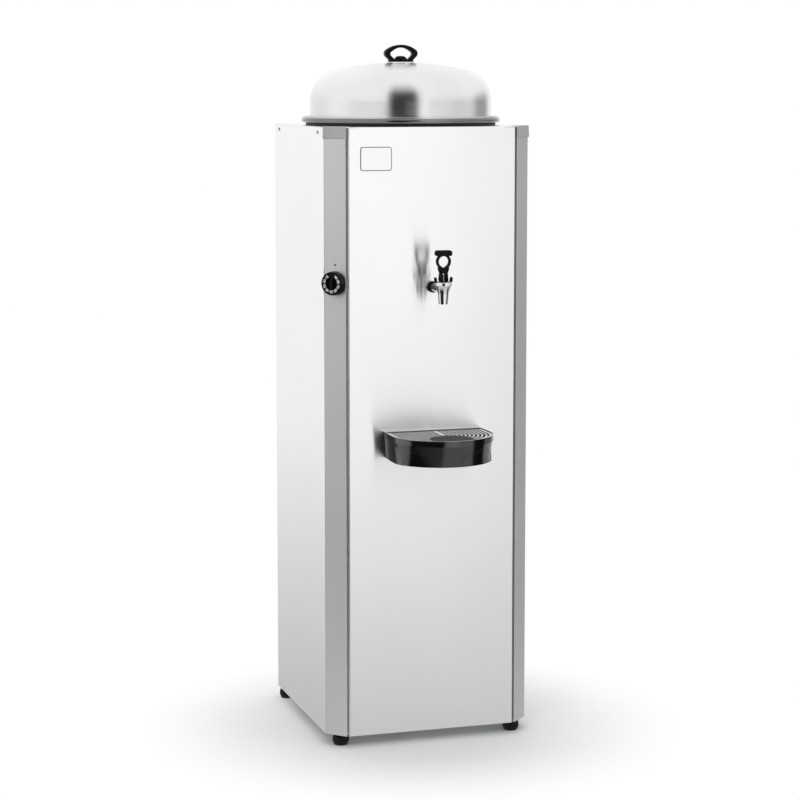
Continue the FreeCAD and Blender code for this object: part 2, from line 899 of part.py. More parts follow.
def tap_body():
    """Cone of the tap with its spout, valve seat and chamber, and the shank that runs to the tank."""
    drop = tap_spout_drop
    ring_low = tap_crown - tap_ring_height
    spout = Vector(tap_spout_radius, 0, -drop)
    waist = Vector(tap_waist_radius, 0, -tap_waist_drop)
    crown = Vector(tap_crown_radius, 0, ring_low)
    outer_line = Part.LineSegment(spout, waist).toShape()
    outer_curve = Part.Arc(waist, Vector(tap_flare_radius, 0, -tap_flare_drop), crown).toShape()
    path = [crown, Vector(tap_ring_radius, 0, ring_low + tap_ring_bevel),
            Vector(tap_ring_radius, 0, tap_crown - tap_ring_bevel),
            Vector(tap_ring_radius - tap_ring_bevel, 0, tap_crown),
            Vector(0, 0, tap_crown), Vector(0, 0, -drop), spout]
    lines = [Part.LineSegment(a, b).toShape() for a, b in zip(path, path[1:])]
    face = Part.Face(Part.Wire([outer_line, outer_curve] + lines))
    cone = face.revolve(Vector(0, 0, 0), Z, 360)
    cone.translate(Vector(0, tap_y, tap_height))
    neck_end = front_y - collar_length
    neck_length = neck_end - tap_y
    neck = turned([(0, 0, 0), (tap_neck_radius, 0, 0), (shank_radius, tap_neck_length, 0),
                   (shank_radius, neck_length, 0), (0, neck_length, 0)], Vector(0, tap_y, tap_height), Y)
    tail = cabinet_y - tank_outer + shank_tail
    shank = rod(shank_radius, Vector(0, neck_end, tap_height), Vector(0, tail, tap_height))
    body = cone.fuse(neck).fuse(shank)
    spigot_bore = bonnet_spigot_radius + running_fit
    recess = bonnet_radius + running_fit
    ledge = tap_crown - bonnet_recess
    chamber = turned([(0, -drop - 1, 0), (spout_bore, -drop - 1, 0), (spout_bore, -seat_drop - seat_ledge, 0),
                      (seat_bore, -seat_drop - seat_ledge, 0), (seat_bore, -seat_drop, 0),
                      (chamber_radius, -seat_drop, 0), (chamber_radius, ledge - bonnet_spigot, 0),
                      (spigot_bore, ledge - bonnet_spigot, 0), (spigot_bore, ledge, 0), (recess, ledge, 0),
                      (recess, tap_crown + 1, 0), (0, tap_crown + 1, 0)], Vector(0, tap_y, tap_height))
    body = body.cut(chamber)
    bore = rod(shank_bore, Vector(0, tap_y, tap_height), Vector(0, tail + 1, tap_height))
    return body.cut(bore).removeSplitter()


def tap_bonnet():
    """Cap let into the tap's ring, with a spigot, a bearing for the stem and two ears over the ring's rim."""
    low = bonnet_floor
    centre = Vector(0, tap_y, 0)
    bearing = stem_radius + running_fit
    spigot_low = low - bonnet_spigot
    cap = turned([(bearing, low, 0), (chamber_radius, low, 0), (chamber_radius, spigot_low, 0),
                  (bonnet_spigot_radius, spigot_low, 0), (bonnet_spigot_radius, low, 0),
                  (bonnet_radius, low, 0.8), (bonnet_radius, bonnet_top, 1.2), (bearing, bonnet_top, 0)],
                 centre)
    inner = ear_radius - ear_width
    root = bonnet_top - 1
    over_rim = tap_height + tap_crown + fit_gap
    tip = bonnet_top + ear_height
    ears = turned([(inner, root, 0), (bonnet_radius, root, 0), (bonnet_radius, over_rim, 0),
                   (ear_radius, over_rim, 0), (ear_radius + ear_flare, tip, 1.5),
                   (inner + ear_lean, tip, 1.5)], centre)
    wide = ear_radius + ear_width
    ears = ears.common(box((-wide, wide), (tap_y - ear_depth / 2, tap_y + ear_depth / 2), (root, tip)))
    return cap.fuse(ears).removeSplitter()


def tap_washer():
    """Bright washer between the tap's collar and the front panel."""
    centre = Vector(0, front_y, tap_height)
    bore = shank_radius + running_fit
    return turned([(bore, 0, 0), (washer_radius, 0, 0), (washer_radius, washer_thickness, 0.5),
                   (bore, washer_thickness, 0)], centre, Y * -1)


def tap_collar():
    """Black spacer with a turned groove between the tap's body and its washer."""
    centre = Vector(0, front_y, tap_height)
    bore = shank_radius + running_fit
    root = collar_radius - collar_groove
    return turned([(bore, washer_thickness, 0), (collar_radius, washer_thickness, 0.3),
                   (collar_radius, collar_groove_start, 0), (root, collar_groove_start, 0),
                   (root, collar_groove_end, 0), (collar_radius, collar_groove_end, 0),
                   (collar_radius, collar_length - collar_taper, 1.5),
                   (collar_nose_radius, collar_length, 0.8), (bore, collar_length, 0)], centre, Y * -1)


def tap_lock_nut():
    """Nut that clamps the shank behind the front panel."""
    start = Vector(0, inner_front, tap_height)
    end = Vector(0, front_y + socket_start - fit_gap, tap_height)
    return hexagon(lock_nut_across, start, end, shank_radius + running_fit)


def tap_stem():
    """Valve stem from the seat cup up through the bonnet to the lever's pin."""
    foot = stem_foot + cup_floor
    top = pin_z + stem_head
    stem = turned([(0, foot, 0), (stem_radius, foot, 0), (stem_radius, top, 1.8), (0, top, 0)],
                  Vector(0, tap_y, 0))
    collar = rod(spring_seat_radius, Vector(0, tap_y, cup_top), Vector(0, tap_y, cup_top + spring_seat))
    hole = rod(pin_radius, Vector(-2 * stem_radius, tap_y, pin_z), Vector(2 * stem_radius, tap_y, pin_z))
    return stem.fuse(collar).cut(hole).removeSplitter()


def seat_cup():
    """Soft cup on the stem's foot that closes the valve seat."""
    cup = turned([(0, stem_foot, 0), (cup_radius, stem_foot, 1), (cup_top_radius, cup_top, 0.8),
                  (0, cup_top, 0)], Vector(0, tap_y, 0))
    return cup.cut(rod(stem_radius, Vector(0, tap_y, stem_foot + cup_floor), Vector(0, tap_y, cup_top + 1)))


def tap_spring():
    """Coil spring round the stem between the seat cup and the bonnet."""
    low = cup_top + spring_seat + spring_wire + fit_gap
    high = bonnet_floor - spring_wire - fit_gap
    edges = []
    quarter = math.pi / 2
    rise = (high - low) / (4 * spring_turns)

    def on_coil(quarters):
        angle = quarters * quarter
        return Vector(spring_radius * math.cos(angle), tap_y + spring_radius * math.sin(angle),
                      low + rise * quarters)

    for i in range(4 * spring_turns):
        edges.append(Part.Arc(on_coil(i), on_coil(i + 0.5), on_coil(i + 1)).toShape())
    start_direction = on_coil(0.01) - on_coil(0)
    return sweep(spring_wire, edges, on_coil(0), start_direction)


def lever_heel():
    """Side outline of the lever's hub: the heel rises evenly as the lever tilts either way."""
    height = pin_z - bonnet_top - heel_gap
    front = []
    for i in range(lever_heel_steps + 1):
        angle = math.radians(lever_sweep) * i / lever_heel_steps
        reach = height + lift_per_radian * angle
        y = reach * math.sin(angle) + lift_per_radian * math.cos(angle)
        z = -reach * math.cos(angle) + lift_per_radian * math.sin(angle)
        front.append((y, z))
    half = lever_thickness / 2
    neck = lever_hole_point - pin_rise

    def point(y, z):
        return Vector(0, tap_y + y, pin_z + z)

    edges = []
    for side in (-1, 1):
        curve = Part.BSplineCurve()
        curve.interpolate([point(side * y, z) for y, z in front])
        edges.append(curve.toShape())
        tip = front[-1]
        edges.append(Part.LineSegment(point(side * tip[0], tip[1]), point(side * half, neck)).toShape())
    edges.append(Part.LineSegment(point(-half, neck), point(half, neck)).toShape())
    sole = [point(side * lift_per_radian, -height) for side in (-1, 1)]
    edges.append(Part.LineSegment(*sole).toShape())
    return Part.Face(Part.Wire(Part.__sortEdges__(edges)))


def tap_lever():
    """Black lever: a cheeked hub with its heel, a ring with a drop-shaped hole and a crossbar on top."""
    def rise(z):
        return tap_height + z

    def slab(corners, depth):
        return profile_y([(u, rise(v), r) for u, v, r in corners], tap_y - depth / 2, tap_y + depth / 2)

    hub_half = lever_hub_width / 2
    hub = lever_heel().extrude(Vector(lever_hub_width, 0, 0))
    hub.translate(Vector(-hub_half, 0, 0))
    hub_top = pin_rise + lever_hub_top
    shoulder_rise = lever_hole_point - lever_shoulder_drop
    neck_rise = lever_ring_rise - lever_neck_drop
    shoulder = slab([(-hub_half, hub_top, 0), (hub_half, hub_top, 0), (lever_shoulder_half, shoulder_rise, 2),
                     (lever_neck_half, neck_rise, 0), (-lever_neck_half, neck_rise, 0),
                     (-lever_shoulder_half, shoulder_rise, 2)], lever_thickness)
    ring_axis = [Vector(0, tap_y - lever_thickness / 2, rise(lever_ring_rise)),
                 Vector(0, tap_y + lever_thickness / 2, rise(lever_ring_rise))]
    ring = rod(lever_ring_radius, *ring_axis)
    low = lever_top - lever_bar_height
    half = lever_bar_width / 2
    bar = slab([(-half, low, lever_bar_low_radius), (half, low, lever_bar_low_radius),
                (half, lever_top, lever_bar_top_radius), (-half, lever_top, lever_bar_top_radius)],
               lever_bar_depth)
    groove_high = lever_top - bar_groove_drop
    groove_low = groove_high - bar_groove_height
    groove_half = bar_groove_width / 2
    groove_end = bar_groove_height / 2
    groove = slab([(-groove_half, groove_low, groove_end), (groove_half, groove_low, groove_end),
                   (groove_half, groove_high, groove_end), (-groove_half, groove_high, groove_end)],
                  2 * lever_bar_depth)
    core = lever_bar_depth / 2 - bar_groove_depth
    groove = groove.cut(box((-lever_bar_width, lever_bar_width), (tap_y - core, tap_y + core),
                            (rise(0), rise(2 * lever_top))))
    solid = hub.fuse([shoulder, ring, bar.cut(groove)]).removeSplitter()
    drop = lever_ring_rise - lever_hole_point
    touch = lever_ring_rise - lever_hole_radius ** 2 / drop
    drop_half = lever_hole_radius * math.sqrt(1 - (lever_hole_radius / drop) ** 2)
    point = slab([(0, lever_hole_point, 1), (drop_half, touch, 0), (-drop_half, touch, 0)],
                 2 * lever_thickness)
    hole = rod(lever_hole_radius, ring_axis[0] - Y * lever_thickness, ring_axis[1] + Y * lever_thickness)
    solid = solid.cut(hole).cut(point)
    slot_half = stem_radius + lever_slot_gap
    wide = 2 * lever_bar_width
    slot = box((-slot_half, slot_half), (tap_y - wide, tap_y + wide),
               (bonnet_top - 1, pin_z + lever_slot_head))
    pin = rod(pin_radius + running_fit, Vector(-wide, tap_y, pin_z), Vector(wide, tap_y, pin_z))
    return solid.cut(slot).cut(pin).removeSplitter()


def lever_pin():
    """Steel pin through the stem's head that carries the lever."""
    half = lever_hub_width / 2 - lever_pin_inset
    return rod(pin_radius, Vector(-half, tap_y, pin_z), Vector(half, tap_y, pin_z))


# Thermostat, knob and sensor

def on_post(shape):
    """Moves a shape drawn with +Z outwards and +Y up onto the middle of the left post's face."""
    centre = Vector(-half_width + corner_cut / 2, front_y + corner_cut / 2, knob_height)
    turn = Rotation(Z, -45).multiply(Rotation(X, 90))
    placed = shape.copy()
    placed.Placement = Placement(centre, turn).multiply(shape.Placement)
    return placed


def knob_body():
    """Round knob with a drafted skirt, two scooped finger rests and a bar grip between them."""
    face = knob_gap + knob_thickness
    bore = spindle_radius + running_fit
    puck = turned([(0, knob_gap, 0), (knob_radius + knob_draft, knob_gap, 0.4),
                   (knob_radius, face, knob_edge), (0, face, 0)])
    floor = face - scoop_depth
    scoop = turned([(0, floor, 0), (scoop_radius - scoop_corner, floor, scoop_corner),
                    (scoop_radius, face + 1, 0), (0, face + 1, 0)])
    bar = box((-grip_bar / 2, grip_bar / 2), (-2 * scoop_radius, 2 * scoop_radius), (floor - 1, face + 2))
    puck = puck.cut(scoop.cut(bar))
    inner = spindle_radius + knob_socket_wall
    outer = knob_radius - knob_wall
    ceiling = floor - knob_floor
    mouth = knob_gap - 1
    hollow = turned([(inner, mouth, 0), (outer, mouth, 0), (outer, ceiling, 1), (inner, ceiling, 0)])
    socket = spindle_section(bore, spindle_flat + running_fit, knob_gap - 1, face - knob_socket_end)
    return on_post(puck.cut(hollow).cut(socket).removeSplitter())


def spindle_section(radius, flat, low, high):
    """Round bar along Z with one flat on its upper side."""
    bar = rod(radius, Vector(0, 0, low), Vector(0, 0, high))
    return bar.cut(box((-2 * radius, 2 * radius), (flat, 2 * radius), (low - 1, high + 1)))


def knob_spindle():
    """Thermostat's spindle, with the flat that carries the knob."""
    low = spindle_root - post_wall - thermostat_depth
    tip = knob_gap + knob_thickness - knob_socket_end - spindle_end_gap
    flatted = spindle_section(spindle_radius, spindle_flat, spindle_flat_start, tip)
    plain = rod(spindle_radius, Vector(0, 0, low), Vector(0, 0, spindle_flat_start))
    return on_post(plain.fuse(flatted).removeSplitter())


def thermostat_body():
    """Control housing between the post's flanges with its threaded bush, rounded case and terminal tabs."""
    back = -post_wall - fit_gap
    half = post_room - thermostat_side_gap
    tall = thermostat_height / 2
    corners = [(-half, -tall), (half, -tall), (half, tall), (-half, tall)]
    case = prism([(u, v, thermostat_corner) for u, v in corners], back - thermostat_depth, back)
    bush = rod(thermostat_bush, Vector(0, 0, back - 1), Vector(0, 0, -thermostat_bush_drop))
    root = spindle_root - post_wall - thermostat_depth - running_fit
    bore = rod(spindle_radius + running_fit, Vector(0, 0, root), Vector(0, 0, 1))
    body = case.fuse(bush).cut(bore)
    for x in (-tab_pitch, 0, tab_pitch):
        body = body.fuse(box((x - tab_width / 2, x + tab_width / 2), (-tall - tab_length, -tall + 1),
                             (back - tab_setback, back - tab_setback + tab_thickness)))
    return on_post(body.removeSplitter())


def thermostat_sensor():
    """Bulb held against the tank's wall and the fine tube from it to the thermostat."""
    centre = Vector(0, cabinet_y, 0)
    entry = thermostat_centre() - centre
    entry_r = entry.Length
    axis = entry.normalize()
    bulb_r = tank_outer + 2 * running_fit + bulb_radius
    bulb_top = bulb_height + bulb_length
    crest = bulb_top + capillary_rise

    def at(radius, z):
        return centre + axis * radius + Z * z

    bulb = turned([(0, 0, 0), (bulb_radius, 0, 1.5), (bulb_radius, bulb_length, 2), (0, bulb_length, 0)],
                  at(bulb_r, bulb_height))
    route = [at(bulb_r, bulb_top - 1), at(bulb_r, crest), at(entry_r, crest),
             at(entry_r, knob_height + thermostat_height / 2)]
    return bulb.fuse(bent_tube(capillary_radius, route, [capillary_bend, capillary_bend])).removeSplitter()


# Lid and handle

def lid_arcs(offset):
    """Key points of the dome's outline, drawn in from the outside by an offset."""
    wall_top = shelf_z + fit_gap + lid_wall
    corner_r = lid_radius - lid_corner
    sphere_z = wall_top - math.sqrt((crown_radius - lid_corner) ** 2 - corner_r ** 2)
    angle = math.asin(corner_r / (crown_radius - lid_corner))
    small = lid_corner - offset
    large = crown_radius - offset

    def on_corner(turn):
        return Vector(corner_r + small * math.cos(turn), 0, wall_top + small * math.sin(turn))

    def on_crown(turn):
        return Vector(large * math.sin(turn), 0, sphere_z + large * math.cos(turn))

    turn_end = math.pi / 2 - angle
    corner = Part.Arc(on_corner(0), on_corner(turn_end / 2), on_corner(turn_end)).toShape()
    edge_angle = math.asin((plateau_radius + plateau_edge) / large)
    crown = Part.Arc(on_crown(angle), on_crown((angle + edge_angle) / 2), on_crown(edge_angle)).toShape()
    return on_corner(0), corner, crown, on_crown(edge_angle)


def plateau_z():
    """Height of the flat seat pressed into the middle of the crown."""
    return lid_arcs(0)[3].z + plateau_rise


def lid_dome():
    """Spun dome: a small flange, an upright wall, a round shoulder, a shallow crown and a flat seat."""
    low = shelf_z + fit_gap
    outer_start, outer_corner, outer_crown, outer_end = lid_arcs(0)
    inner_start, inner_corner, inner_crown, inner_end = lid_arcs(lid_sheet)
    flange = lid_radius + lid_flange
    seat = plateau_z()
    hole = lid_screw_radius + running_fit
    inner_wall = lid_radius - lid_sheet

    def line(a, b):
        return Part.LineSegment(a, b).toShape()

    def at(r, z):
        return Vector(r, 0, z)

    edges = [line(at(inner_wall, low), at(flange, low)), line(at(flange, low), at(flange, low + lid_sheet)),
             line(at(flange, low + lid_sheet), at(lid_radius, low + lid_sheet)),
             line(at(lid_radius, low + lid_sheet), outer_start), outer_corner, outer_crown,
             line(outer_end, at(plateau_radius, seat)), line(at(plateau_radius, seat), at(hole, seat)),
             line(at(hole, seat), at(hole, seat - lid_sheet)),
             line(at(hole, seat - lid_sheet), at(plateau_radius, seat - lid_sheet)),
             line(at(plateau_radius, seat - lid_sheet), inner_end), inner_crown, inner_corner,
             line(inner_start, at(inner_wall, low))]
    face = Part.Face(Part.Wire(Part.__sortEdges__(edges)))
    dome = face.revolve(Vector(0, 0, 0), Z, 360)
    dome.translate(Vector(0, cabinet_y, 0))
    return dome


def lid_handle():
    """Moulded loop with leaning arms, a thin top bar, and a round screw boss in its floor."""
    z = plateau_z()
    foot = handle_base / 2
    waist = handle_waist
    rise = handle_waist_height
    low_y = cabinet_y - handle_depth / 2
    high_y = cabinet_y + handle_depth / 2

    def loop(corners, low, high):
        """Slab from the corners of the loop's left half and its crest, mirrored to the right."""
        right = [(-u, v, r) for u, v, r in reversed(corners[:-1])]
        return profile_y([(u, z + v, r) for u, v, r in corners + right], low, high)

    outer = loop([(-foot, 0, 0), (-foot, handle_foot, 3), (-waist, rise, handle_waist_radius),
                  (0, handle_crest, handle_crest_radius)], low_y, high_y)
    inner = loop([(-foot + handle_base_arm, handle_foot, 1.5),
                  (-waist + handle_arm, rise - handle_inner_drop, handle_inner_waist_radius),
                  (0, handle_inner_crest, handle_inner_radius)], low_y - 1, high_y + 1)
    solid = outer.cut(inner)
    rounded = [edge for edge in solid.Edges if abs(edge.CenterOfMass.y - cabinet_y) > handle_depth / 2 - 0.1
               and edge.CenterOfMass.z > z + 0.1]
    solid = solid.makeFillet(handle_edge, rounded)
    boss_top = z + handle_button_height
    boss = turned([(0, z, 0), (handle_button, z, 0), (handle_button, boss_top, handle_button_round),
                   (0, boss_top, 0)], Vector(0, cabinet_y, 0))
    hole = rod(lid_screw_radius + running_fit, Vector(0, cabinet_y, z - 1),
               Vector(0, cabinet_y, z + lid_screw_hold))
    return solid.fuse(boss).cut(hole).removeSplitter()


def lid_screw():
    """Screw and washer under the dome that hold the handle."""
    seat = Vector(0, cabinet_y, plateau_z() - lid_sheet)
    shank = rod(lid_screw_radius, seat, seat + Z * (lid_sheet + lid_screw_hold))
    washer = rod(lid_washer_radius, seat - Z * lid_washer_height, seat)
    low = -lid_washer_height - lid_screw_head_height
    head = turned([(0, low, 0), (lid_screw_head, low, 1.5), (lid_screw_head, -lid_washer_height, 0),
                   (0, -lid_washer_height, 0)], seat)
    return shank.fuse([washer, head]).removeSplitter()


# Drip tray

def tray_outline(half, back_half, reach, corner, back, z):
    """Plan of the tray at a height: a round front, fuller corners and sides that draw in to the back."""
    widest_y = front_y - tray_widest
    shift = half - corner
    depth = reach - tray_widest
    front_radius = (shift ** 2 + depth ** 2 - corner ** 2) / (2 * (depth - corner))
    front_centre = widest_y - depth + front_radius
    corner_centre = Vector(shift, widest_y, z)

    def on_corner(turn):
        return corner_centre + Vector(math.cos(turn), math.sin(turn), 0) * corner

    last_turn = -math.atan2(front_centre - widest_y, shift)
    joint = on_corner(last_turn)
    side_radius = (tray_widest ** 2 + (half - back_half) ** 2) / (2 * (half - back_half))

    def on_side(y):
        rise = y - widest_y
        return Vector(half - side_radius + math.sqrt(side_radius ** 2 - rise ** 2), y, z)

    end = on_side(back)
    apex = Vector(0, widest_y - depth, z)
    right = [Part.Arc(end, on_side((back + widest_y) / 2), on_corner(0)).toShape(),
             Part.Arc(on_corner(0), on_corner(last_turn / 2), joint).toShape()]
    left = [edge.mirror(Vector(0, 0, 0), X) for edge in right]
    front = Part.Arc(joint, apex, mirror_point(joint)).toShape()
    closing = Part.LineSegment(mirror_point(end), end).toShape()
    return Part.Wire(Part.__sortEdges__(right + [front] + left + [closing]))


def mirror_point(point):
    """The point on the other side of the middle plane."""
    return Vector(-point.x, point.y, point.z)


def tray_section(inset, back, z, foot=False):
    """Tray outline drawn in by a wall, at the rim's size or at the foot's."""
    corner = tray_corner - inset
    if foot:
        return tray_outline(tray_foot_half_width - inset, tray_foot_back_width - inset,
                            tray_foot_reach - inset, corner, back, z)
    return tray_outline(tray_half_width - inset, tray_back_width - inset, tray_reach - inset, corner, back, z)


def tray_slab(inset, back, low, high):
    """Upright slab of the tray's rim outline, drawn in by an inset."""
    return Part.Face(tray_section(inset, back, low)).extrude(Vector(0, 0, high - low))


def tray_taper(inset, back, low, high):
    """Block tapering from the foot's outline up to the stepped-in outline under the rim band."""
    foot = tray_section(inset, back, low, True)
    return Part.makeLoft([foot, tray_section(tray_step + inset, back, high)], True)


def tray_arches(outer):
    """Raised arch lines on both corners of the tray, standing a little proud of its wall."""
    centre = Vector(0, front_y - arch_centre, tray_bottom - 1)
    band = Part.Face(Part.Wire(Part.Ellipse(Vector(0, 0, 0), arch_half_width, arch_rise).toShape()))
    gap = Part.Face(Part.Wire(Part.Ellipse(Vector(0, 0, 0), arch_half_width - arch_line,
                                           arch_rise - arch_line).toShape()))
    arch = band.cut(gap).extrude(Vector(0, 0, tray_reach))
    upper = box((-arch_half_width, arch_half_width), (0, tray_height), (0, tray_reach))
    arch = arch.common(upper)
    arch.Placement = Placement(centre, Rotation(Z, -45).multiply(Rotation(X, 90)))
    skin = tray_taper(-arch_proud, tray_back, tray_bottom, tray_top - tray_band)
    left = skin.common(arch).cut(outer)
    return [left, mirrored(left)]


def drip_tray():
    """Deep tray with a rim band, a tapered body with arch lines, a ledge for the grid and a hook behind."""
    band_low = tray_top - tray_band
    body = tray_taper(0, tray_back, tray_bottom, band_low)
    band = tray_slab(0, tray_back, band_low, tray_top)
    ledge_z = tray_top - tray_ledge_drop
    mouth = tray_slab(tray_wall, grid_back, ledge_z, tray_top + 1)
    wall = tray_wall + tray_ledge
    well_back = grid_back - tray_ledge
    well = Part.makeLoft([tray_section(wall, well_back, tray_bottom + tray_floor, True),
                          tray_section(wall, well_back, ledge_z + fit_gap)], True)
    tray = body.fuse(band)
    tray = tray.fuse(tray_arches(body))
    tray = tray.cut(mouth).cut(well)
    pocket_half = bracket_width / 2 + hook_end_gap
    pocket = box((-pocket_half, pocket_half), (tray_back - hook_back, tray_back + 1),
                 (tray_bottom - 1, tray_top - hook_bridge))
    tray = tray.cut(pocket)
    hook_half = bracket_width / 2 - hook_end_gap
    hook_y = front_y - hook_play
    hook = box((-hook_half, hook_half), (hook_y - hook_sheet, hook_y),
               (tray_top - hook_depth, tray_top - hook_bridge + 1))
    return tray.fuse(hook).removeSplitter()


def bow(half, middle, back, low, high):
    """Slab with straight sides from the back edge and a half round end about a middle point."""
    end = rod(half, Vector(0, middle, low), Vector(0, middle, high))
    return end.fuse(box((-half, half), (middle, back), (low, high)))


def drip_grid():
    """Lift-off grating: nested round-ended slots, a rayed splash fan at the front, ribs beneath."""
    back = grid_back - grid_gap
    inset = tray_wall + grid_gap
    low = tray_top - tray_ledge_drop + fit_gap
    high = low + grid_sheet
    plate = tray_slab(inset, back, low, high)
    field = tray_slab(inset + grid_border, back - grid_border, low - 1, high + 1)
    centre = Vector(0, back - grid_border, low - 1)
    middle = front_y - ring_middle
    slots = []
    for i in range(1, ring_count + 1):
        outer = i * ring_pitch + ring_slot / 2
        inner = outer - ring_slot
        slots.append(bow(outer, middle, back, low - 1, high + 1).cut(bow(inner, middle, back, low - 2, high + 2)))
    front = front_y - tray_reach
    fan_axis = Vector(0, front + fan_centre, low - 1)
    fan = rod(fan_radius, fan_axis, fan_axis + Z * (grid_sheet + 2))
    fan = fan.fuse(box((-fan_radius, fan_radius), (front, front + fan_centre), (low - 1, high + 1)))
    plate = plate.cut(Part.Compound(slots).common(field).cut(fan))
    for angle in (-rib_angle, 0, rib_angle):
        rib = box((-rib_width / 2, rib_width / 2), (-tray_reach, 0), (low - rib_depth, low + 1))
        rib.Placement = Placement(Vector(centre.x, centre.y, 0), Rotation(Z, angle))
        rib = rib.common(tray_slab(inset + tray_ledge + 1, back - 1, low - rib_depth, low + 1))
        plate = plate.fuse(rib)
    for i in range(ray_count):
        angle = 180 * (i + 1) / (ray_count + 1)
        ray = box((ray_start, tray_reach), (-ray_width / 2, ray_width / 2), (high - ray_depth, high + 1))
        ray.Placement = Placement(Vector(0, front + inset, 0), Rotation(Z, angle))
        plate = plate.cut(ray.common(fan))
    return plate.removeSplitter()


def tray_bracket():
    """Folded strip on the front panel whose upper half stands off to take the tray's hook."""
    low = bracket_bottom
    high = low + bracket_height
    bend = tray_top - hook_depth - bracket_jog
    t = bracket_sheet
    step = t * bracket_jog / (bracket_jog + bracket_standoff)
    stand = front_y - bracket_standoff
    outline = [(front_y, low, 0), (front_y, bend - bracket_jog, 0), (stand, bend, 0), (stand, high, 0),
               (stand - t, high, 0), (stand - t, bend - step, 0), (front_y - t, bend - bracket_jog - step, 0),
               (front_y - t, low, 0)]
    half = bracket_width / 2
    strip = profile_x(outline, -half, half)
    for point in tray_screw_points():
        strip = strip.cut(screw_hole(point, Y))
    return strip.removeSplitter()


# Feet

def foot_places():
    """Centres of the four feet: front left, front right, rear left, rear right."""
    front_x = half_width - front_foot_side_inset
    rear_x = half_width - rear_foot_inset
    front = front_y + front_foot_inset
    rear = rear_y - rear_foot_inset
    return [(-front_x, front), (front_x, front), (-rear_x, rear), (rear_x, rear)]


def foot_head(x, y):
    """Fluted plastic foot, widest below half height and drawn in to a flat tread."""
    top = base_z - foot_gap
    head = turned([(0, 0, 0), (foot_tread, 0, 0.8), (foot_radius, foot_widest, 4),
                   (foot_shoulder_radius, foot_shoulder, 2), (foot_neck_radius, foot_neck, 1),
                   (foot_neck_radius, top, 0), (0, top, 0)], Vector(x, y, 0))
    for i in range(foot_flutes):
        angle = 2 * math.pi * i / foot_flutes
        at = Vector(x, y, foot_flute_start) + Vector(math.cos(angle), math.sin(angle), 0) * foot_flute_reach
        head = head.cut(rod(foot_flute_radius, at, at + Z * foot_height))
    bore = rod(foot_stud_radius, Vector(x, y, foot_socket), Vector(x, y, foot_height + 1))
    return head.cut(bore)


def foot_stud(x, y):
    """Threaded stud that carries the foot in the nut on the base pan."""
    top = pan_z + foot_stud_length
    return turned([(0, foot_socket, 0), (foot_stud_radius, foot_socket, 0), (foot_stud_radius, top, 1),
                   (0, top, 0)], Vector(x, y, 0))


def foot_nuts():
    """Nuts welded on the base pan over the four feet."""
    bore = foot_stud_radius + running_fit
    seats = [Vector(x, y, pan_z + pan_sheet) for x, y in foot_places()]
    return Part.Compound([hexagon(foot_nut_across, seat, seat + Z * foot_nut_height, bore) for seat in seats])


# Cable entry and terminals

def cable_gland():
    """Cable gland outside the rear panel: a hexagonal flange and a domed nut round the cable's bore."""
    seat = Vector(gland_x, rear_y, gland_z)
    flange = hexagon(gland_across, seat, seat + Y * gland_flange)
    nut = turned([(0, gland_flange, 0), (gland_nut_radius, gland_flange, 0),
                  (gland_nut_radius, gland_flange + gland_nut_length, 2),
                  (gland_bore + gland_lip, gland_reach, 1), (0, gland_reach, 0)], seat, Y)
    thread = rod(gland_thread, seat - Y * gland_thread_length, seat)
    body = flange.fuse([nut, thread])
    return body.cut(rod(gland_bore, seat - Y * gland_thread_length, seat + Y * gland_reach)).removeSplitter()


def gland_lock_nut():
    """Nut inside the rear panel that holds the gland."""
    seat = Vector(gland_x, rear_y - sheet, gland_z)
    return hexagon(gland_lock_across, seat - Y * gland_lock_height, seat, gland_thread + running_fit)


def terminal_block():
    """Terminal block screwed to the base pan, with a well for each clamp screw and notches between ways."""
    low = pan_z + pan_sheet
    high = low + terminal_height
    half = terminal_length / 2
    rear = rear_y - terminal_inset
    front = rear - terminal_width
    middle = (front + rear) / 2
    block = box((-half, half), (front, rear), (low, high))
    for i in range(terminal_ways):
        x = (i - (terminal_ways - 1) / 2) * terminal_pitch
        for y in (middle - terminal_row_spacing / 2, middle + terminal_row_spacing / 2):
            block = block.cut(rod(terminal_well_radius, Vector(x, y, high - terminal_well_depth),
                                  Vector(x, y, high + 1)))
    for i in range(terminal_ways - 1):
        x = (i - (terminal_ways - 2) / 2) * terminal_pitch
        block = block.cut(box((x - terminal_notch_width / 2, x + terminal_notch_width / 2),
                              (front - 1, rear + 1), (high - terminal_notch_depth, high + 1)))
    return block.removeSplitter()


def both_sides(points, direction):
    """Screws at points on the left and at their mirror images on the right."""
    left = [pan_screw(point, direction) for point in points]
    return Part.Compound(left + [mirrored(screw) for screw in left])


def tray_screws():
    """Screws of the tray's bracket, with their heads below the step of the bracket."""
    return Part.Compound([pan_screw(point, Y) for point in tray_screw_points()])


# Pieces by name

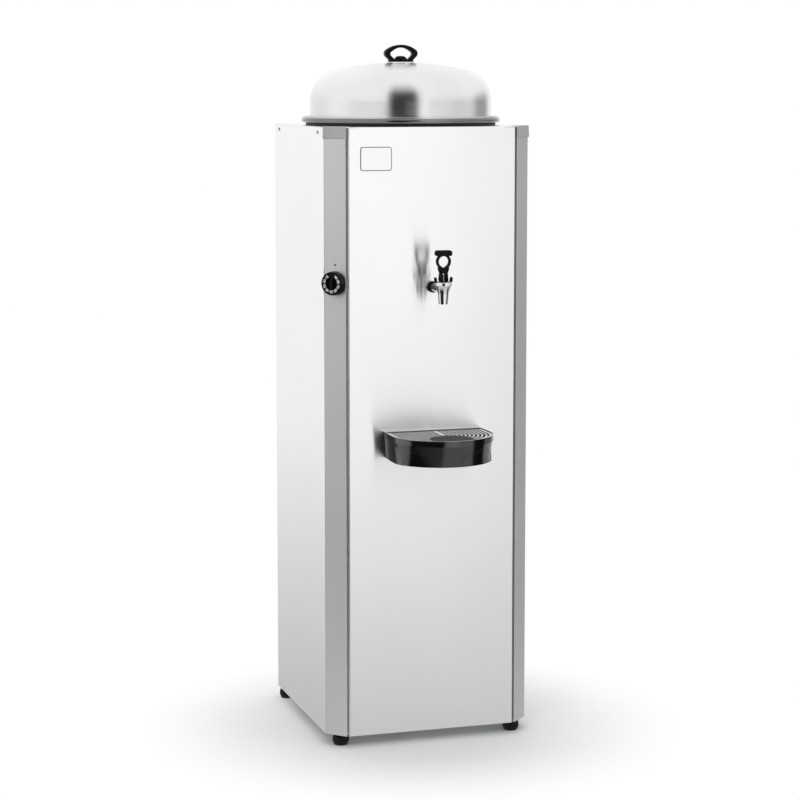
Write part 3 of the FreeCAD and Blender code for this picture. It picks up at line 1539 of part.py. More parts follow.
def all_pieces():
    """Every node of the dispenser with its solid."""
    left_side = side_panel()
    post = corner_post()
    left_cap = corner_cap()
    pieces = {
        "front_panel": front_panel(),
        "left_side_panel": left_side,
        "right_side_panel": mirrored(left_side),
        "rear_panel": rear_panel(),
        "left_corner_post": post.cut(bush_hole()),
        "right_corner_post": mirrored(post),
        "left_corner_cap": left_cap,
        "right_corner_cap": mirrored(left_cap),
        "top_plate": top_plate(),
        "base_pan": base_pan(),
        "front_tank_rail": tank_rail(cabinet_y - rail_offset),
        "rear_tank_rail": tank_rail(cabinet_y + rail_offset),
        "tank_shell": tank_shell(),
        "tank_socket": tank_socket(),
        "rim_gasket": rim_gasket(),
        "insulation_jacket": insulation_jacket(),
        "heating_element": heating_element(),
        "element_bushings": element_bushings(),
        "element_nuts": element_nuts(),
        "safety_cutout": safety_cutout(),
        "thermostat_body": thermostat_body(),
        "thermostat_sensor": thermostat_sensor(),
        "knob_spindle": knob_spindle(),
        "knob_body": knob_body(),
        "terminal_block": terminal_block(),
        "cable_gland": cable_gland(),
        "gland_lock_nut": gland_lock_nut(),
        "tap_body": tap_body(),
        "tap_bonnet": tap_bonnet(),
        "tap_washer": tap_washer(),
        "tap_collar": tap_collar(),
        "tap_lock_nut": tap_lock_nut(),
        "tap_stem": tap_stem(),
        "tap_seat_cup": seat_cup(),
        "tap_spring": tap_spring(),
        "tap_lever": tap_lever(),
        "lever_pin": lever_pin(),
        "tray_bracket": tray_bracket(),
        "tray_screws": tray_screws(),
        "drip_tray": drip_tray(),
        "drip_grid": drip_grid(),
        "lid_dome": lid_dome(),
        "lid_handle": lid_handle(),
        "lid_screw": lid_screw(),
        "foot_nuts": foot_nuts(),
        "side_screws": both_sides(side_screw_points(), X),
        "rear_screws": both_sides(rear_screw_points(), Y * -1),
    }
    names = ("front_left", "front_right", "rear_left", "rear_right")
    for name, (x, y) in zip(names, foot_places()):
        pieces[name + "_foot"] = foot_head(x, y)
        pieces[name + "_stud"] = foot_stud(x, y)
    return pieces


os.makedirs("parts", exist_ok=True)
for name, shape in all_pieces().items():
    shape.exportStep("parts/" + name + ".step")
    print(name, len(shape.Solids), shape.isValid(), round(shape.Volume / 1000, 2))
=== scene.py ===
import json
import math

import bmesh
import bpy
import numpy as np
from mathutils import Matrix, Vector


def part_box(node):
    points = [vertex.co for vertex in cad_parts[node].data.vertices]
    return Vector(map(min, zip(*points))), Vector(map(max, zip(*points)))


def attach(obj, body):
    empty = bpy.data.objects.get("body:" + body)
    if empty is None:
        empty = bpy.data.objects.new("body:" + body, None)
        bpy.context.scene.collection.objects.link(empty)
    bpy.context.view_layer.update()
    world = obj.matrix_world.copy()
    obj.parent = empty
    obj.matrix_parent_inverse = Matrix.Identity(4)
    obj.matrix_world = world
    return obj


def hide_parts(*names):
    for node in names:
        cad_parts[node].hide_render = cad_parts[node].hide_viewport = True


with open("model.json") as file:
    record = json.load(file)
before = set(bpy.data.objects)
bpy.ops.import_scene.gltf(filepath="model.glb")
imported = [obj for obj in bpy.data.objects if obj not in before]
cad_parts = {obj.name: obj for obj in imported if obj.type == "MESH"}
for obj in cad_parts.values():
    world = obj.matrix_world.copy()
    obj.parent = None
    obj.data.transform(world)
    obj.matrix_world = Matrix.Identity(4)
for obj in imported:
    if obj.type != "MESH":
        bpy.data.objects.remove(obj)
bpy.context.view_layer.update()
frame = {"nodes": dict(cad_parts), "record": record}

bl_info = {
    "name": "Hot water dispenser finish",
    "version": (1, 0, 0),
    "blender": (4, 5, 0),
    "location": "View3D > Sidebar > Dispenser",
    "description": "Finishes, printed marks, screws and threads for a free-standing hot water dispenser",
    "category": "Object",
}

mm = 0.001
up = Vector((0, 0, 1))

# Places read from the frame
front_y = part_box("front_panel")[0].y
left_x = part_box("left_side_panel")[0].x
dome_low, dome_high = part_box("lid_dome")
tank_axis = ((dome_low.x + dome_high.x) / 2, (dome_low.y + dome_high.y) / 2, 0)
cabinet_middle = (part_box("base_pan")[0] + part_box("base_pan")[1]) / 2

# The grid's splash fan at the front of the tray
fan_radius = 40 * mm
fan_setback = 36 * mm
fan_edge = 0.5 * mm
fan_middle = (0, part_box("drip_tray")[0].y + fan_setback, 0)

# The left corner post's face looks out at 45 degrees
post_cut = 34 * mm
post_out = Vector((-1, -1, 0)).normalized()
post_right = Vector((1, -1, 0)).normalized()
post_middle = Vector((left_x + post_cut / 2, front_y + post_cut / 2, 0))

# Nodes whose finish differs from the rest of their material slot
own_finish = {"top_plate": "top_steel", "drip_grid": "grid_plastic", "lid_handle": "handle_plastic"}

# A digit's height as a share of the font's size
digit_share = 0.7

# Most of a noise's values lie between these
noise_low, noise_high = 0.3, 0.7

# Depth of the lines that a belt or pad leaves in steel
brush_depth = 0.004 * mm

# Corners closer than this are one, and edges sharper than these angles, in degrees, stay sharp
weld = 1e-7
sharp_edge, thread_edge = 35.0, 60.0

# Half the floor's width, and the softboxes' names, places and sides, in metres
floor_half = 25.0
softboxes = (("key", (-3.0, -3.6, 3.4), 2.8), ("fill", (3.4, -2.6, 2.2), 2.8), ("top", (0.2, 0.6, 4.2), 2.6))
lamp_target = Vector((0, 0.05, 0.65))

# A Mix node's own sockets for two colours and their mix
mix_a, mix_b, mix_result = 6, 7, 2


# Colour and node helpers

def linear(code):
    """Linear RGBA of an sRGB hex colour."""
    parts = np.array([int(code[i:i + 2], 16) for i in (1, 3, 5)]) / 255
    low = parts / 12.92
    high = ((parts + 0.055) / 1.055) ** 2.4
    return (*np.where(parts <= 0.04045, low, high).tolist(), 1.0)


def add(tree, kind, sockets=None, **settings):
    """Adds a shader node. Settings are its properties; sockets are values, or outputs to link, by input."""
    made = tree.nodes.new("ShaderNode" + kind)
    for name, value in settings.items():
        setattr(made, name, value)
    for name, value in (sockets or {}).items():
        if isinstance(value, bpy.types.NodeSocket):
            tree.links.new(value, made.inputs[name])
        else:
            made.inputs[name].default_value = value
    return made


def empty_tree(owner):
    """Node tree of a material or world, cleared."""
    owner.use_nodes = True
    owner.node_tree.nodes.clear()
    return owner.node_tree


def start_material(name, constants):
    """New material: its Principled shader with the constants on its own sockets, and the shader's tree."""
    material = bpy.data.materials.new(name)
    tree = empty_tree(material)
    shader = add(tree, "BsdfPrincipled", constants)
    add(tree, "OutputMaterial", {"Surface": shader.outputs["BSDF"]})
    return material, tree, shader


def spots(tree, *sizes, detail=2.0):
    """Noise over the object's own coordinates, with features of one size, or of a size for x, y and z."""
    place = add(tree, "TexCoord").outputs["Object"]
    scale = tuple(1 / length for length in (sizes if len(sizes) == 3 else sizes * 3))
    laid = add(tree, "Mapping", {"Vector": place, "Scale": scale}).outputs["Vector"]
    return add(tree, "TexNoise", {"Vector": laid, "Scale": 1.0, "Detail": detail}).outputs["Fac"]


def dress(tree, shader, fine, broad, colours, gloss, depth):
    """Runs the colour with a broad pattern, and the roughness and relief with a fine one."""
    shade = add(tree, "MapRange", {"Value": broad, "From Min": noise_low,
                                   "From Max": noise_high}).outputs["Result"]
    colour = add(tree, "Mix", {"Factor": shade, mix_a: linear(colours[0]), mix_b: linear(colours[1])},
                 data_type="RGBA").outputs[mix_result]
    rough = add(tree, "MapRange", {"Value": fine, "From Min": noise_low, "From Max": noise_high,
                                   "To Min": gloss[0], "To Max": gloss[1]}).outputs["Result"]
    relief = add(tree, "Bump", {"Height": fine, "Distance": depth, "Strength": 0.6}).outputs["Normal"]
    tree.links.new(colour, shader.inputs["Base Color"])
    tree.links.new(rough, shader.inputs["Roughness"])
    tree.links.new(relief, shader.inputs["Normal"])


# Metal finishes

def smeared_metal(name, smear):
    """New metal that smears a reflection across its tangent, which runs round the upright axis."""
    material, tree, shader = start_material(name, {"Metallic": 1.0, "Anisotropic": smear,
                                                   "Anisotropic Rotation": 0.25})
    round_z = add(tree, "Tangent", direction_type="RADIAL", axis="Z").outputs["Tangent"]
    tree.links.new(round_z, shader.inputs["Tangent"])
    return material, tree, shader


def brushed_metal(name, colours, gloss, line, along, smear=1.0):
    """Cold-rolled sheet brushed with an abrasive belt.

    The belt leaves fine straight lines. On the panels they run level, so that a reflection keeps its width
    and smears up and down.
    The lines are about a tenth of a millimetre wide, and are drawn wider so that they show.
    """
    material, tree, shader = smeared_metal(name, smear)
    run = 160 * mm
    lines = spots(tree, *(run if axis in along else line for axis in "XYZ"))
    clouds = spots(tree, 180 * mm, detail=1.0)
    both = add(tree, "Math", {0: lines, 1: clouds}, operation="ADD").outputs["Value"]
    half = add(tree, "Math", {0: both, 1: 0.5}, operation="MULTIPLY").outputs["Value"]
    dress(tree, shader, lines, half, colours, gloss, brush_depth)
    return material


def spun_metal(name, colours, gloss, line):
    """Disc spun over a former and rubbed with a satin pad as it turns.

    The pad's rings run round the axis, so a highlight smears into a soft bar from rim to crown.
    """
    material, tree, shader = smeared_metal(name, 0.7)
    place = add(tree, "TexCoord").outputs["Object"]
    centred = add(tree, "VectorMath", {0: place, 1: tank_axis}, operation="SUBTRACT").outputs["Vector"]
    flat = add(tree, "VectorMath", {0: centred, 1: (1, 1, 0)}, operation="MULTIPLY").outputs["Vector"]
    radius = add(tree, "VectorMath", {0: flat}, operation="LENGTH").outputs["Value"]
    height = add(tree, "SeparateXYZ", {"Vector": centred}).outputs["Z"]
    ring = add(tree, "CombineXYZ", {"X": radius, "Y": height}).outputs["Vector"]
    rings = add(tree, "TexNoise", {"Vector": ring, "Scale": 1 / line}).outputs["Fac"]
    clouds = spots(tree, 110 * mm, detail=1.0)
    dress(tree, shader, rings, clouds, colours, gloss, brush_depth)
    return material


def fine_metal(name, colours, gloss, grain, depth=0.01 * mm):
    """Metal with an even fine grain, drawn, plated or annealed, told apart by colour, gloss and grain."""
    material, tree, shader = start_material(name, {"Metallic": 1.0})
    dress(tree, shader, spots(tree, grain), spots(tree, 35 * mm), colours, gloss, depth)
    return material


def turned_metal(name, colours, gloss, line):
    """Bar stock turned on a lathe, with the tool's fine rings one after the other along its height."""
    material, tree, shader = start_material(name, {"Metallic": 1.0})
    dress(tree, shader, spots(tree, 9 * mm, 9 * mm, line), spots(tree, 25 * mm), colours, gloss, 0.01 * mm)
    return material


def galvanised_sheet(name, colours, gloss, crystal):
    """Hot-dip zinc on steel sheet: the zinc freezes into crystals, each a slightly different grey."""
    material, tree, shader = start_material(name, {"Metallic": 1.0})
    place = add(tree, "TexCoord").outputs["Object"]
    flakes = add(tree, "TexVoronoi", {"Vector": place, "Scale": 1 / crystal})
    tone = add(tree, "SeparateColor", {"Color": flakes.outputs["Color"]}).outputs["Red"]
    dress(tree, shader, tone, tone, colours, gloss, 0.005 * mm)
    return material


# Plastic, rubber, felt and ink finishes

def moulded_plastic(name, colours, gloss, grain, depth=0.02 * mm, shine=0.5, lacquer=0.0):
    """Moulded plastic: the mould's texture sets its gloss, and its flow leaves faint cloudy patches."""
    values = {"IOR": 1.5, "Specular IOR Level": shine, "Coat Weight": lacquer, "Coat Roughness": 0.04}
    material, tree, shader = start_material(name, values)
    clouds = spots(tree, 45 * mm, 45 * mm, 70 * mm)
    dress(tree, shader, spots(tree, grain), clouds, colours, gloss, depth)
    return material


def moulded_grid(name, colours, gloss):
    """Gloss moulding whose splash fan is grained in the mould, so that the fan alone looks matt.

    The grain fills the points within the fan's radius of its middle, and the strip in front of them.
    """
    material, tree, shader = start_material(name, {"IOR": 1.5, "Coat Roughness": 0.04})
    place = add(tree, "TexCoord").outputs["Object"]
    centred = add(tree, "VectorMath", {0: place, 1: fan_middle}, operation="SUBTRACT").outputs["Vector"]
    parts = add(tree, "SeparateXYZ", {"Vector": centred}).outputs
    behind = add(tree, "Math", {0: parts["Y"], 1: 0.0}, operation="MAXIMUM").outputs["Value"]
    flat = add(tree, "CombineXYZ", {"X": parts["X"], "Y": behind}).outputs["Vector"]
    reach = add(tree, "VectorMath", {0: flat}, operation="LENGTH").outputs["Value"]
    fan = add(tree, "MapRange", {"Value": reach, "From Min": fan_radius, "From Max": fan_radius + fan_edge,
                                 "To Min": noise_high, "To Max": noise_low}).outputs["Result"]
    grain = add(tree, "Math", {0: spots(tree, 0.9 * mm), 1: 0.05}, operation="MULTIPLY").outputs["Value"]
    both = add(tree, "Math", {0: fan, 1: grain}, operation="ADD").outputs["Value"]
    shine = add(tree, "MapRange", {"Value": fan, "From Min": noise_low, "From Max": noise_high,
                                   "To Min": 1.0, "To Max": 0.12}).outputs["Result"]
    tree.links.new(shine, shader.inputs["Specular IOR Level"])
    tree.links.new(shine, shader.inputs["Coat Weight"])
    dress(tree, shader, both, spots(tree, 30 * mm), colours, gloss, 0.02 * mm)
    return material


def needled_felt(name, colours):
    """Glass fibres needled into a soft blanket: matted, with a dusty sheen and no gloss."""
    material, tree, shader = start_material(name, {"Sheen Weight": 0.3, "IOR": 1.5})
    fibres = spots(tree, 2.5 * mm, 2.5 * mm, 1.2 * mm, detail=6.0)
    dress(tree, shader, fibres, fibres, colours, (0.9, 1.0), 0.8 * mm)
    return material


def clear_silicone(name, colours):
    """Moulded silicone rubber: milky, a little see-through, and dull from the mould."""
    material, tree, shader = start_material(name, {"Subsurface Weight": 0.4, "IOR": 1.41})
    dress(tree, shader, spots(tree, 0.8 * mm), spots(tree, 4 * mm), colours, (0.4, 0.5), 0.01 * mm)
    return material


def pad_ink(name, colours):
    """Pad-printed ink: a thin, slightly uneven matt film."""
    material, tree, shader = start_material(name, {"IOR": 1.48})
    dress(tree, shader, spots(tree, 0.3 * mm), spots(tree, 1.5 * mm), colours, (0.45, 0.55), 0.002 * mm)
    return material


def make_finishes(steel):
    """Every finish, by its material slot or its name in own_finish."""
    sheet = (steel.dark, steel.light)
    post = (steel.post_dark, steel.post_light)
    sheet_gloss = (steel.roughness - 0.01, steel.roughness + 0.01)
    return {
        "brushed_steel": brushed_metal("stainless_sheet_belt_brushed", sheet, sheet_gloss, steel.line, "XY"),
        "top_steel": brushed_metal(
            "stainless_top_belt_brushed", sheet, sheet_gloss, steel.line, "X", smear=0.3),
        "post_steel": brushed_metal(
            "stainless_section_satin", post, (0.46, 0.52), steel.line, "Z", smear=0.3),
        "dome_steel": spun_metal("stainless_spun_satin", ("#E3E3E4", "#EDEDED"), (0.2, 0.26), 0.7 * mm),
        "tank_steel": spun_metal("stainless_deep_drawn", ("#C6C6C8", "#DADADA"), (0.2, 0.28), 1.2 * mm),
        "cap_plastic": moulded_plastic("abs_grey_moulded", ("#A6A6A8", "#B0B0B2"), (0.34, 0.42), 0.8 * mm),
        "galvanised_steel": galvanised_sheet(
            "steel_hot_dip_galvanised", ("#9DA2A5", "#C6CACC"), (0.36, 0.5), 9 * mm),
        "element_steel": fine_metal("alloy_sheath_annealed", ("#7D7468", "#9C948A"), (0.36, 0.5), 0.6 * mm),
        "brass": turned_metal("brass_turned", ("#B08D4C", "#CDAA68"), (0.22, 0.34), 0.5 * mm),
        "copper": fine_metal("copper_drawn", ("#B0714F", "#C98C69"), (0.25, 0.38), 0.8 * mm),
        "chrome": fine_metal("brass_chrome_plated", ("#F1F2F3", "#F9F9FA"), (0.05, 0.1), 3 * mm, 0.002 * mm),
        "screw_steel": fine_metal("steel_zinc_plated", ("#BDC1C6", "#D2D5D8"), (0.22, 0.34), 0.5 * mm),
        "spring_steel": fine_metal("stainless_wire_drawn", ("#A9A9AC", "#C4C4C6"), (0.2, 0.3), 0.4 * mm),
        "gasket_rubber": moulded_plastic(
            "silicone_black_extruded", ("#161616", "#202020"), (0.55, 0.68), 0.7 * mm, 0.05 * mm),
        "seat_silicone": clear_silicone("silicone_clear_moulded", ("#D2CCBD", "#E6E2D8")),
        "jacket_felt": needled_felt("glass_felt_needled", ("#C2BAA6", "#E4DECF")),
        "black_plastic": moulded_plastic(
            "nylon_black_moulded", ("#050506", "#0C0C0D"), (0.3, 0.42), 0.6 * mm, 0.03 * mm, shine=0.12),
        "gloss_black_plastic": moulded_plastic(
            "abs_gloss_black_moulded", ("#040405", "#080809"), (0.1, 0.16), 6 * mm, shine=0.8, lacquer=0.8),
        "grid_plastic": moulded_grid("abs_gloss_black_grained_fan", ("#040405", "#080809"), (0.06, 0.62)),
        "handle_plastic": moulded_plastic(
            "phenolic_black_moulded", ("#040404", "#0B0B0C"), (0.22, 0.32), 0.8 * mm, shine=0.12),
        "foot_plastic": moulded_plastic(
            "polyethylene_black_moulded", ("#0B0B0C", "#151516"), (0.42, 0.58), 0.9 * mm, 0.05 * mm,
            shine=0.22),
        "white_plastic": moulded_plastic(
            "nylon_white_moulded", ("#DCDBD3", "#E7E6DF"), (0.34, 0.46), 0.7 * mm),
    }


# Surface helpers

def new_object(name, data):
    """New object of a mesh, curve, lamp or camera, linked to the scene."""
    made = bpy.data.objects.new(name, data)
    bpy.context.scene.collection.objects.link(made)
    return made


def corners_of(mesh):
    """Every corner of a mesh, as rows of x, y and z."""
    points = np.empty(len(mesh.vertices) * 3)
    mesh.vertices.foreach_get("co", points)
    return points.reshape(-1, 3)


def even_turns(count):
    """Angles that part a full turn evenly."""
    return np.linspace(0, 2 * math.pi, count, endpoint=False)


def circles(around, *sizes):
    """Rings of points (r cos t, r sin t, z), one for each radius and height."""
    angle = even_turns(around)
    return np.array([np.stack([r * np.cos(angle), r * np.sin(angle), np.full(around, z)], -1)
                     for r, z in sizes])


def quads(first, second, around):
    """Quads from each first ring of points to its second, both given by number."""
    step = np.arange(around)[None, :]
    ahead = (step + 1) % around
    low, high = first[:, None] * around, second[:, None] * around
    return np.stack([low + step, low + ahead, high + ahead, high + step], -1).reshape(-1, 4).tolist()


def skin(name, rings, smooth_angle=sharp_edge):
    """Closed surface through rings of points, first to last, each joined to the next by quads.

    rings is an array of ring, point and x, y, z. The two end rings are closed by a fan to their own middle.
    """
    count, around = rings.shape[:2]
    points = np.concatenate([rings.reshape(-1, 3), rings[[0, -1]].mean(axis=1)])
    walls = quads(np.arange(count - 1), np.arange(1, count), around)
    step = np.arange(around)
    ahead = (step + 1) % around
    first = np.stack([np.full(around, count * around), ahead, step], -1)
    last_ring = (count - 1) * around
    last = np.stack([np.full(around, count * around + 1), last_ring + step, last_ring + ahead], -1)
    mesh = bpy.data.meshes.new(name)
    mesh.from_pydata(points.tolist(), [], walls + first.tolist() + last.tolist())
    return finish_mesh(name, mesh, smooth_angle)


def finish_mesh(name, mesh, smooth_angle=sharp_edge):
    """Object of a mesh: doubles merged, normals outwards, and edges sharper than the angle kept."""
    shell = bmesh.new()
    shell.from_mesh(mesh)
    bmesh.ops.remove_doubles(shell, verts=shell.verts, dist=weld)
    bmesh.ops.recalc_face_normals(shell, faces=shell.faces)
    shell.to_mesh(mesh)
    shell.free()
    mesh.polygons.foreach_set("use_smooth", np.ones(len(mesh.polygons), bool))
    mesh.set_sharp_from_angle(angle=math.radians(smooth_angle))
    mesh.update()
    return new_object(name, mesh)


def joined(name, pieces):
    """One object from several new pieces."""
    whole = bmesh.new()
    for piece in pieces:
        whole.from_mesh(piece.data)
    mesh = bpy.data.meshes.new(name)
    whole.to_mesh(mesh)
    whole.free()
    for piece in pieces:
        bpy.data.objects.remove(piece)
    return finish_mesh(name, mesh)


def placed(points, seat):
    """Points given as (right, up, out) from a seat, which is an origin and its directions right and out."""
    origin, right, out = seat
    across = np.array(out.cross(right))
    return np.array(origin) + points @ np.array([np.array(right), across, np.array(out)])


def rounded_outline(width, height, radius, corner_steps=8):
    """Outline of a rounded rectangle about its middle: four quarter circles joined by straight sides."""
    turn = np.linspace(0, math.pi / 2, corner_steps)
    corners = []
    for quarter, (side, top) in enumerate(((1, 1), (-1, 1), (-1, -1), (1, -1))):
        angle = turn + quarter * math.pi / 2
        x = side * (width / 2 - radius) + radius * np.cos(angle)
        y = top * (height / 2 - radius) + radius * np.sin(angle)
        corners.append(np.stack([x, y], -1))
    return np.concatenate(corners)


def rounded_slab(name, width, height, radius, thickness, edge, seat):
    """Plate with a rounded outline whose front edge is rolled over.

    The outline is drawn in by edge (1 - cos t) as it rises by edge (sin t), for t from 0 to a quarter turn.
    A last ring, drawn in by as much again, keeps the face flat up to its rolled edge.
    """
    turn = np.linspace(0, math.pi / 2, 5)
    inset = np.concatenate([[0.0], edge * (1 - np.cos(turn)), [2 * edge]])
    rise = np.concatenate([[0.0], thickness - edge + edge * np.sin(turn), [thickness]])
    rings = []
    for drawn, high in zip(inset, rise):
        outline = rounded_outline(width - 2 * drawn, height - 2 * drawn, radius - drawn)
        rings.append(np.concatenate([outline, np.full((len(outline), 1), high)], 1))
    return skin(name, placed(np.array(rings), seat))


def wear(piece, material, body):
    """Gives a new piece its material and the body that it moves with."""
    piece.data.materials.append(material)
    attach(piece, body)


# Pieces

def solid_boxes(node, apart):
    """Boxes of a node's separate solids, each smaller than the distance that parts it from the next."""
    points = corners_of(frame["nodes"][node].data)
    boxes = []
    while len(points):
        near = np.linalg.norm(points - points[0], axis=1) < apart
        boxes.append((points[near].min(axis=0), points[near].max(axis=0)))
        points = points[~near]
    return boxes


def knob_face():
    """Middle of the knob's face: the knob's corner that reaches furthest from the post gives its distance."""
    low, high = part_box("knob_body")
    place = post_middle + up * (low.z + high.z) / 2
    corners = corners_of(frame["nodes"]["knob_body"].data)
    reach = ((corners - np.array(place)) @ np.array(post_out)).max()
    return place + post_out * reach


def printed_numbers(marks):
    """Flat numbers on the knob's face, their tops outwards, rising anticlockwise from the left of the top.

    Each is drawn upright at the top of the ring and turned to its place in even steps.
    """
    seat = (knob_face(), post_right, post_out)
    numbers = range(marks.first_number, marks.last_number + 1, marks.number_step)
    turns = np.linspace(marks.top_gap / 2, 2 * math.pi - marks.top_gap / 2, len(numbers))
    printed = []
    for number, turn in zip(numbers, turns):
        curve = bpy.data.curves.new("number", "FONT")
        curve.body = str(number)
        curve.size = marks.number_height / digit_share
        curve.align_x = "CENTER"
        curve.align_y = "CENTER"
        curve.offset = marks.number_weight
        curve.extrude = marks.ink_thickness
        drawn = new_object("number", curve)
        mesh = bpy.data.meshes.new_from_object(drawn.evaluated_get(bpy.context.evaluated_depsgraph_get()))
        bpy.data.objects.remove(drawn)
        points = corners_of(mesh) + (0, marks.number_ring, 0)
        turned = points @ np.array(Matrix.Rotation(turn, 3, "Z")).T
        mesh.vertices.foreach_set("co", placed(turned, seat).ravel())
        printed.append(finish_mesh("number", mesh))
    return joined("knob_numbers", printed)


def disc(name, radius, thickness, seat, around=40):
    """Thin round film that draws in a little at its upper edge."""
    wall = 0.6 * thickness
    top_radius = 0.97 * radius
    rings = circles(around, (radius, 0), (radius, wall), (top_radius, thickness))
    return skin(name, placed(rings, seat))


def pan_screw(name, radius, height, shank, length, seat, around=48, steps=14):
    """Pan head screw with a cross recess, drawn over a grid of distance from the axis and turn.

    The head's height is h (1 - d (r / R)^4), less the recess, whose floor is reached where the point is
    within half a slot's width of either of two crossed lines and inside the recess's radius.
    """
    drop, recess = 0.45, 0.55 * height
    slot = 0.17 * radius
    slot_side = 0.35 * slot
    recess_end, recess_fade, hub = 0.62, 0.08, 0.04
    tip_radius, tip_height = 0.6 * shank, 0.5 * shank
    angle = even_turns(around)[None, :]
    share = np.linspace(hub, 1, steps)[:, None]
    x = radius * share * np.cos(angle)
    y = radius * share * np.sin(angle)
    top = height * (1 - drop * share ** 4) * np.ones_like(angle)
    near = np.minimum(np.abs(x), np.abs(y))
    inside = np.clip((slot - near) / slot_side, 0, 1) * np.clip((recess_end - share) / recess_fade, 0, 1)
    z = top - inside * recess
    head = np.stack([x, y, z], -1)[::-1]
    lower = circles(around, (tip_radius, -length), (shank, tip_height - length), (shank, 0), (radius, 0))
    rings = np.concatenate([lower, head])
    return skin(name, placed(rings, seat))


def threaded_rod(name, radius, depth, pitch, low, high, centre, around=28, per_turn=10):
    """Rod with a rolled thread.

    The radius is R - d |2 w - 1|, where w is the fraction of a turn that height / pitch leads the angle by,
    and it shrinks over the first and last pitch to a chamfer.
    """
    angle = even_turns(around)[None, :]
    heights = np.linspace(low, high, int((high - low) / pitch * per_turn))[:, None]
    lead = (heights / pitch - angle / (2 * math.pi)) % 1
    r = radius - depth * np.abs(2 * lead - 1)
    end = np.minimum(heights - low, high - heights) / pitch
    r = np.minimum(r, radius - depth * (1 - np.clip(end, 0, 1)))
    points = np.stack([centre[0] + r * np.cos(angle), centre[1] + r * np.sin(angle),
                       heights * np.ones_like(angle)], -1)
    return skin(name, points, thread_edge)


def hoop(name, radius, half_width, half_height, centre, around=180, across=24):
    """Closed ring with an oval section: a point is R + w cos t from the axis, h sin t above the centre."""
    turn = even_turns(around)[:, None]
    tilt = even_turns(across)[None, :]
    reach = radius + half_width * np.cos(tilt)
    points = np.stack([centre[0] + reach * np.cos(turn), centre[1] + reach * np.sin(turn),
                       centre[2] + half_height * np.sin(tilt) * np.ones_like(turn)], -1).reshape(-1, 3)
    ring = np.arange(around)
    mesh = bpy.data.meshes.new(name)
    mesh.from_pydata(points.tolist(), [], quads(ring, (ring + 1) % around, across))
    return finish_mesh(name, mesh)


# Stage

def heading(tree, place):
    """Angle of a place or direction round the vertical axis: 0 towards -Y, a quarter turn towards +X."""
    parts = add(tree, "SeparateXYZ", {"Vector": place}).outputs
    ahead = add(tree, "Math", {0: parts["Y"], 1: -1.0}, operation="MULTIPLY").outputs["Value"]
    return add(tree, "Math", {0: parts["X"], 1: ahead}, operation="ARCTAN2").outputs["Value"]


def sector(tree, angle, middle, half, soft):
    """1 where an angle lies within half of a middle, fading to 0 over a soft edge."""
    off = add(tree, "Math", {0: angle, 1: middle}, operation="SUBTRACT").outputs["Value"]
    wide = add(tree, "Math", {0: off}, operation="ABSOLUTE").outputs["Value"]
    return add(tree, "MapRange", {"Value": wide, "From Min": half - soft, "From Max": half + soft,
                                  "To Min": 1.0, "To Max": 0.0}).outputs["Result"]


def studio_walls(tree, angle, share, stage):
    """Colour of the studio's walls by heading: white, with a share of greyer right, side and rear walls."""
    turned = add(tree, "Math", {0: angle}, operation="ABSOLUTE").outputs["Value"]
    colour = linear(stage.wall_colour)
    for tone, at, middle, half, soft in (
            (stage.rear_colour, turned, math.pi, stage.rear_half, stage.side_soft),
            (stage.right_colour, angle, stage.right_middle, stage.right_half_width, stage.right_soft),
            (stage.side_colour, angle, stage.side_middle, stage.side_half, stage.side_soft)):
        here = sector(tree, at, middle, half, soft)
        part = add(tree, "Math", {0: here, 1: share}, operation="MULTIPLY").outputs["Value"]
        colour = add(tree, "Mix", {"Factor": part, mix_a: colour, mix_b: linear(tone)},
                     data_type="RGBA").outputs[mix_result]
    return colour


def make_world(stage):
    """White surroundings for the camera, an even grey for diffuse light, and a studio for reflections.

    The studio is white, with greyer walls at the right, side and rear and a dark card behind the camera, so
    that flat steel facing a white wall stays bright while the dome gets its dark bar.
    """
    world = bpy.data.worlds.new("studio")
    bpy.context.scene.world = world
    tree = empty_tree(world)
    direction = add(tree, "TexCoord").outputs["Generated"]
    angle = heading(tree, direction)
    height = add(tree, "SeparateXYZ", {"Vector": direction}).outputs["Z"]
    below = add(tree, "MapRange", {"Value": height, "From Min": math.sin(stage.card_top - stage.card_fade),
                                   "From Max": math.sin(stage.card_top + stage.card_fade),
                                   "To Min": 1.0, "To Max": 0.0}).outputs["Result"]
    across = sector(tree, angle, stage.card_middle, stage.card_half, stage.card_soft)
    card = add(tree, "Math", {0: across, 1: below}, operation="MULTIPLY").outputs["Value"]
    low = add(tree, "MapRange", {"Value": height, "From Min": math.sin(stage.wall_top),
                                 "From Max": math.sin(stage.wall_end),
                                 "To Min": 1.0, "To Max": 0.0}).outputs["Result"]
    walls = studio_walls(tree, angle, low, stage)
    studio = add(tree, "Mix", {"Factor": card, mix_a: walls, mix_b: linear(stage.card_colour)},
                 data_type="RGBA").outputs[mix_result]
    path = add(tree, "LightPath").outputs
    seen = add(tree, "Math", {0: path["Is Camera Ray"], 1: path["Is Transmission Ray"]},
               operation="MAXIMUM").outputs["Value"]
    even = add(tree, "Background", {"Color": (1, 1, 1, 1), "Strength": stage.ambient}).outputs["Background"]
    mirrored = add(tree, "Background", {"Color": studio,
                                        "Strength": stage.studio_strength}).outputs["Background"]
    white = add(tree, "Background", {"Color": (1, 1, 1, 1)}).outputs["Background"]
    lit = add(tree, "MixShader", {0: path["Is Glossy Ray"], 1: even, 2: mirrored}).outputs["Shader"]
    shown = add(tree, "MixShader", {0: seen, 1: lit, 2: white}).outputs["Shader"]
    add(tree, "OutputWorld", {"Surface": shown})


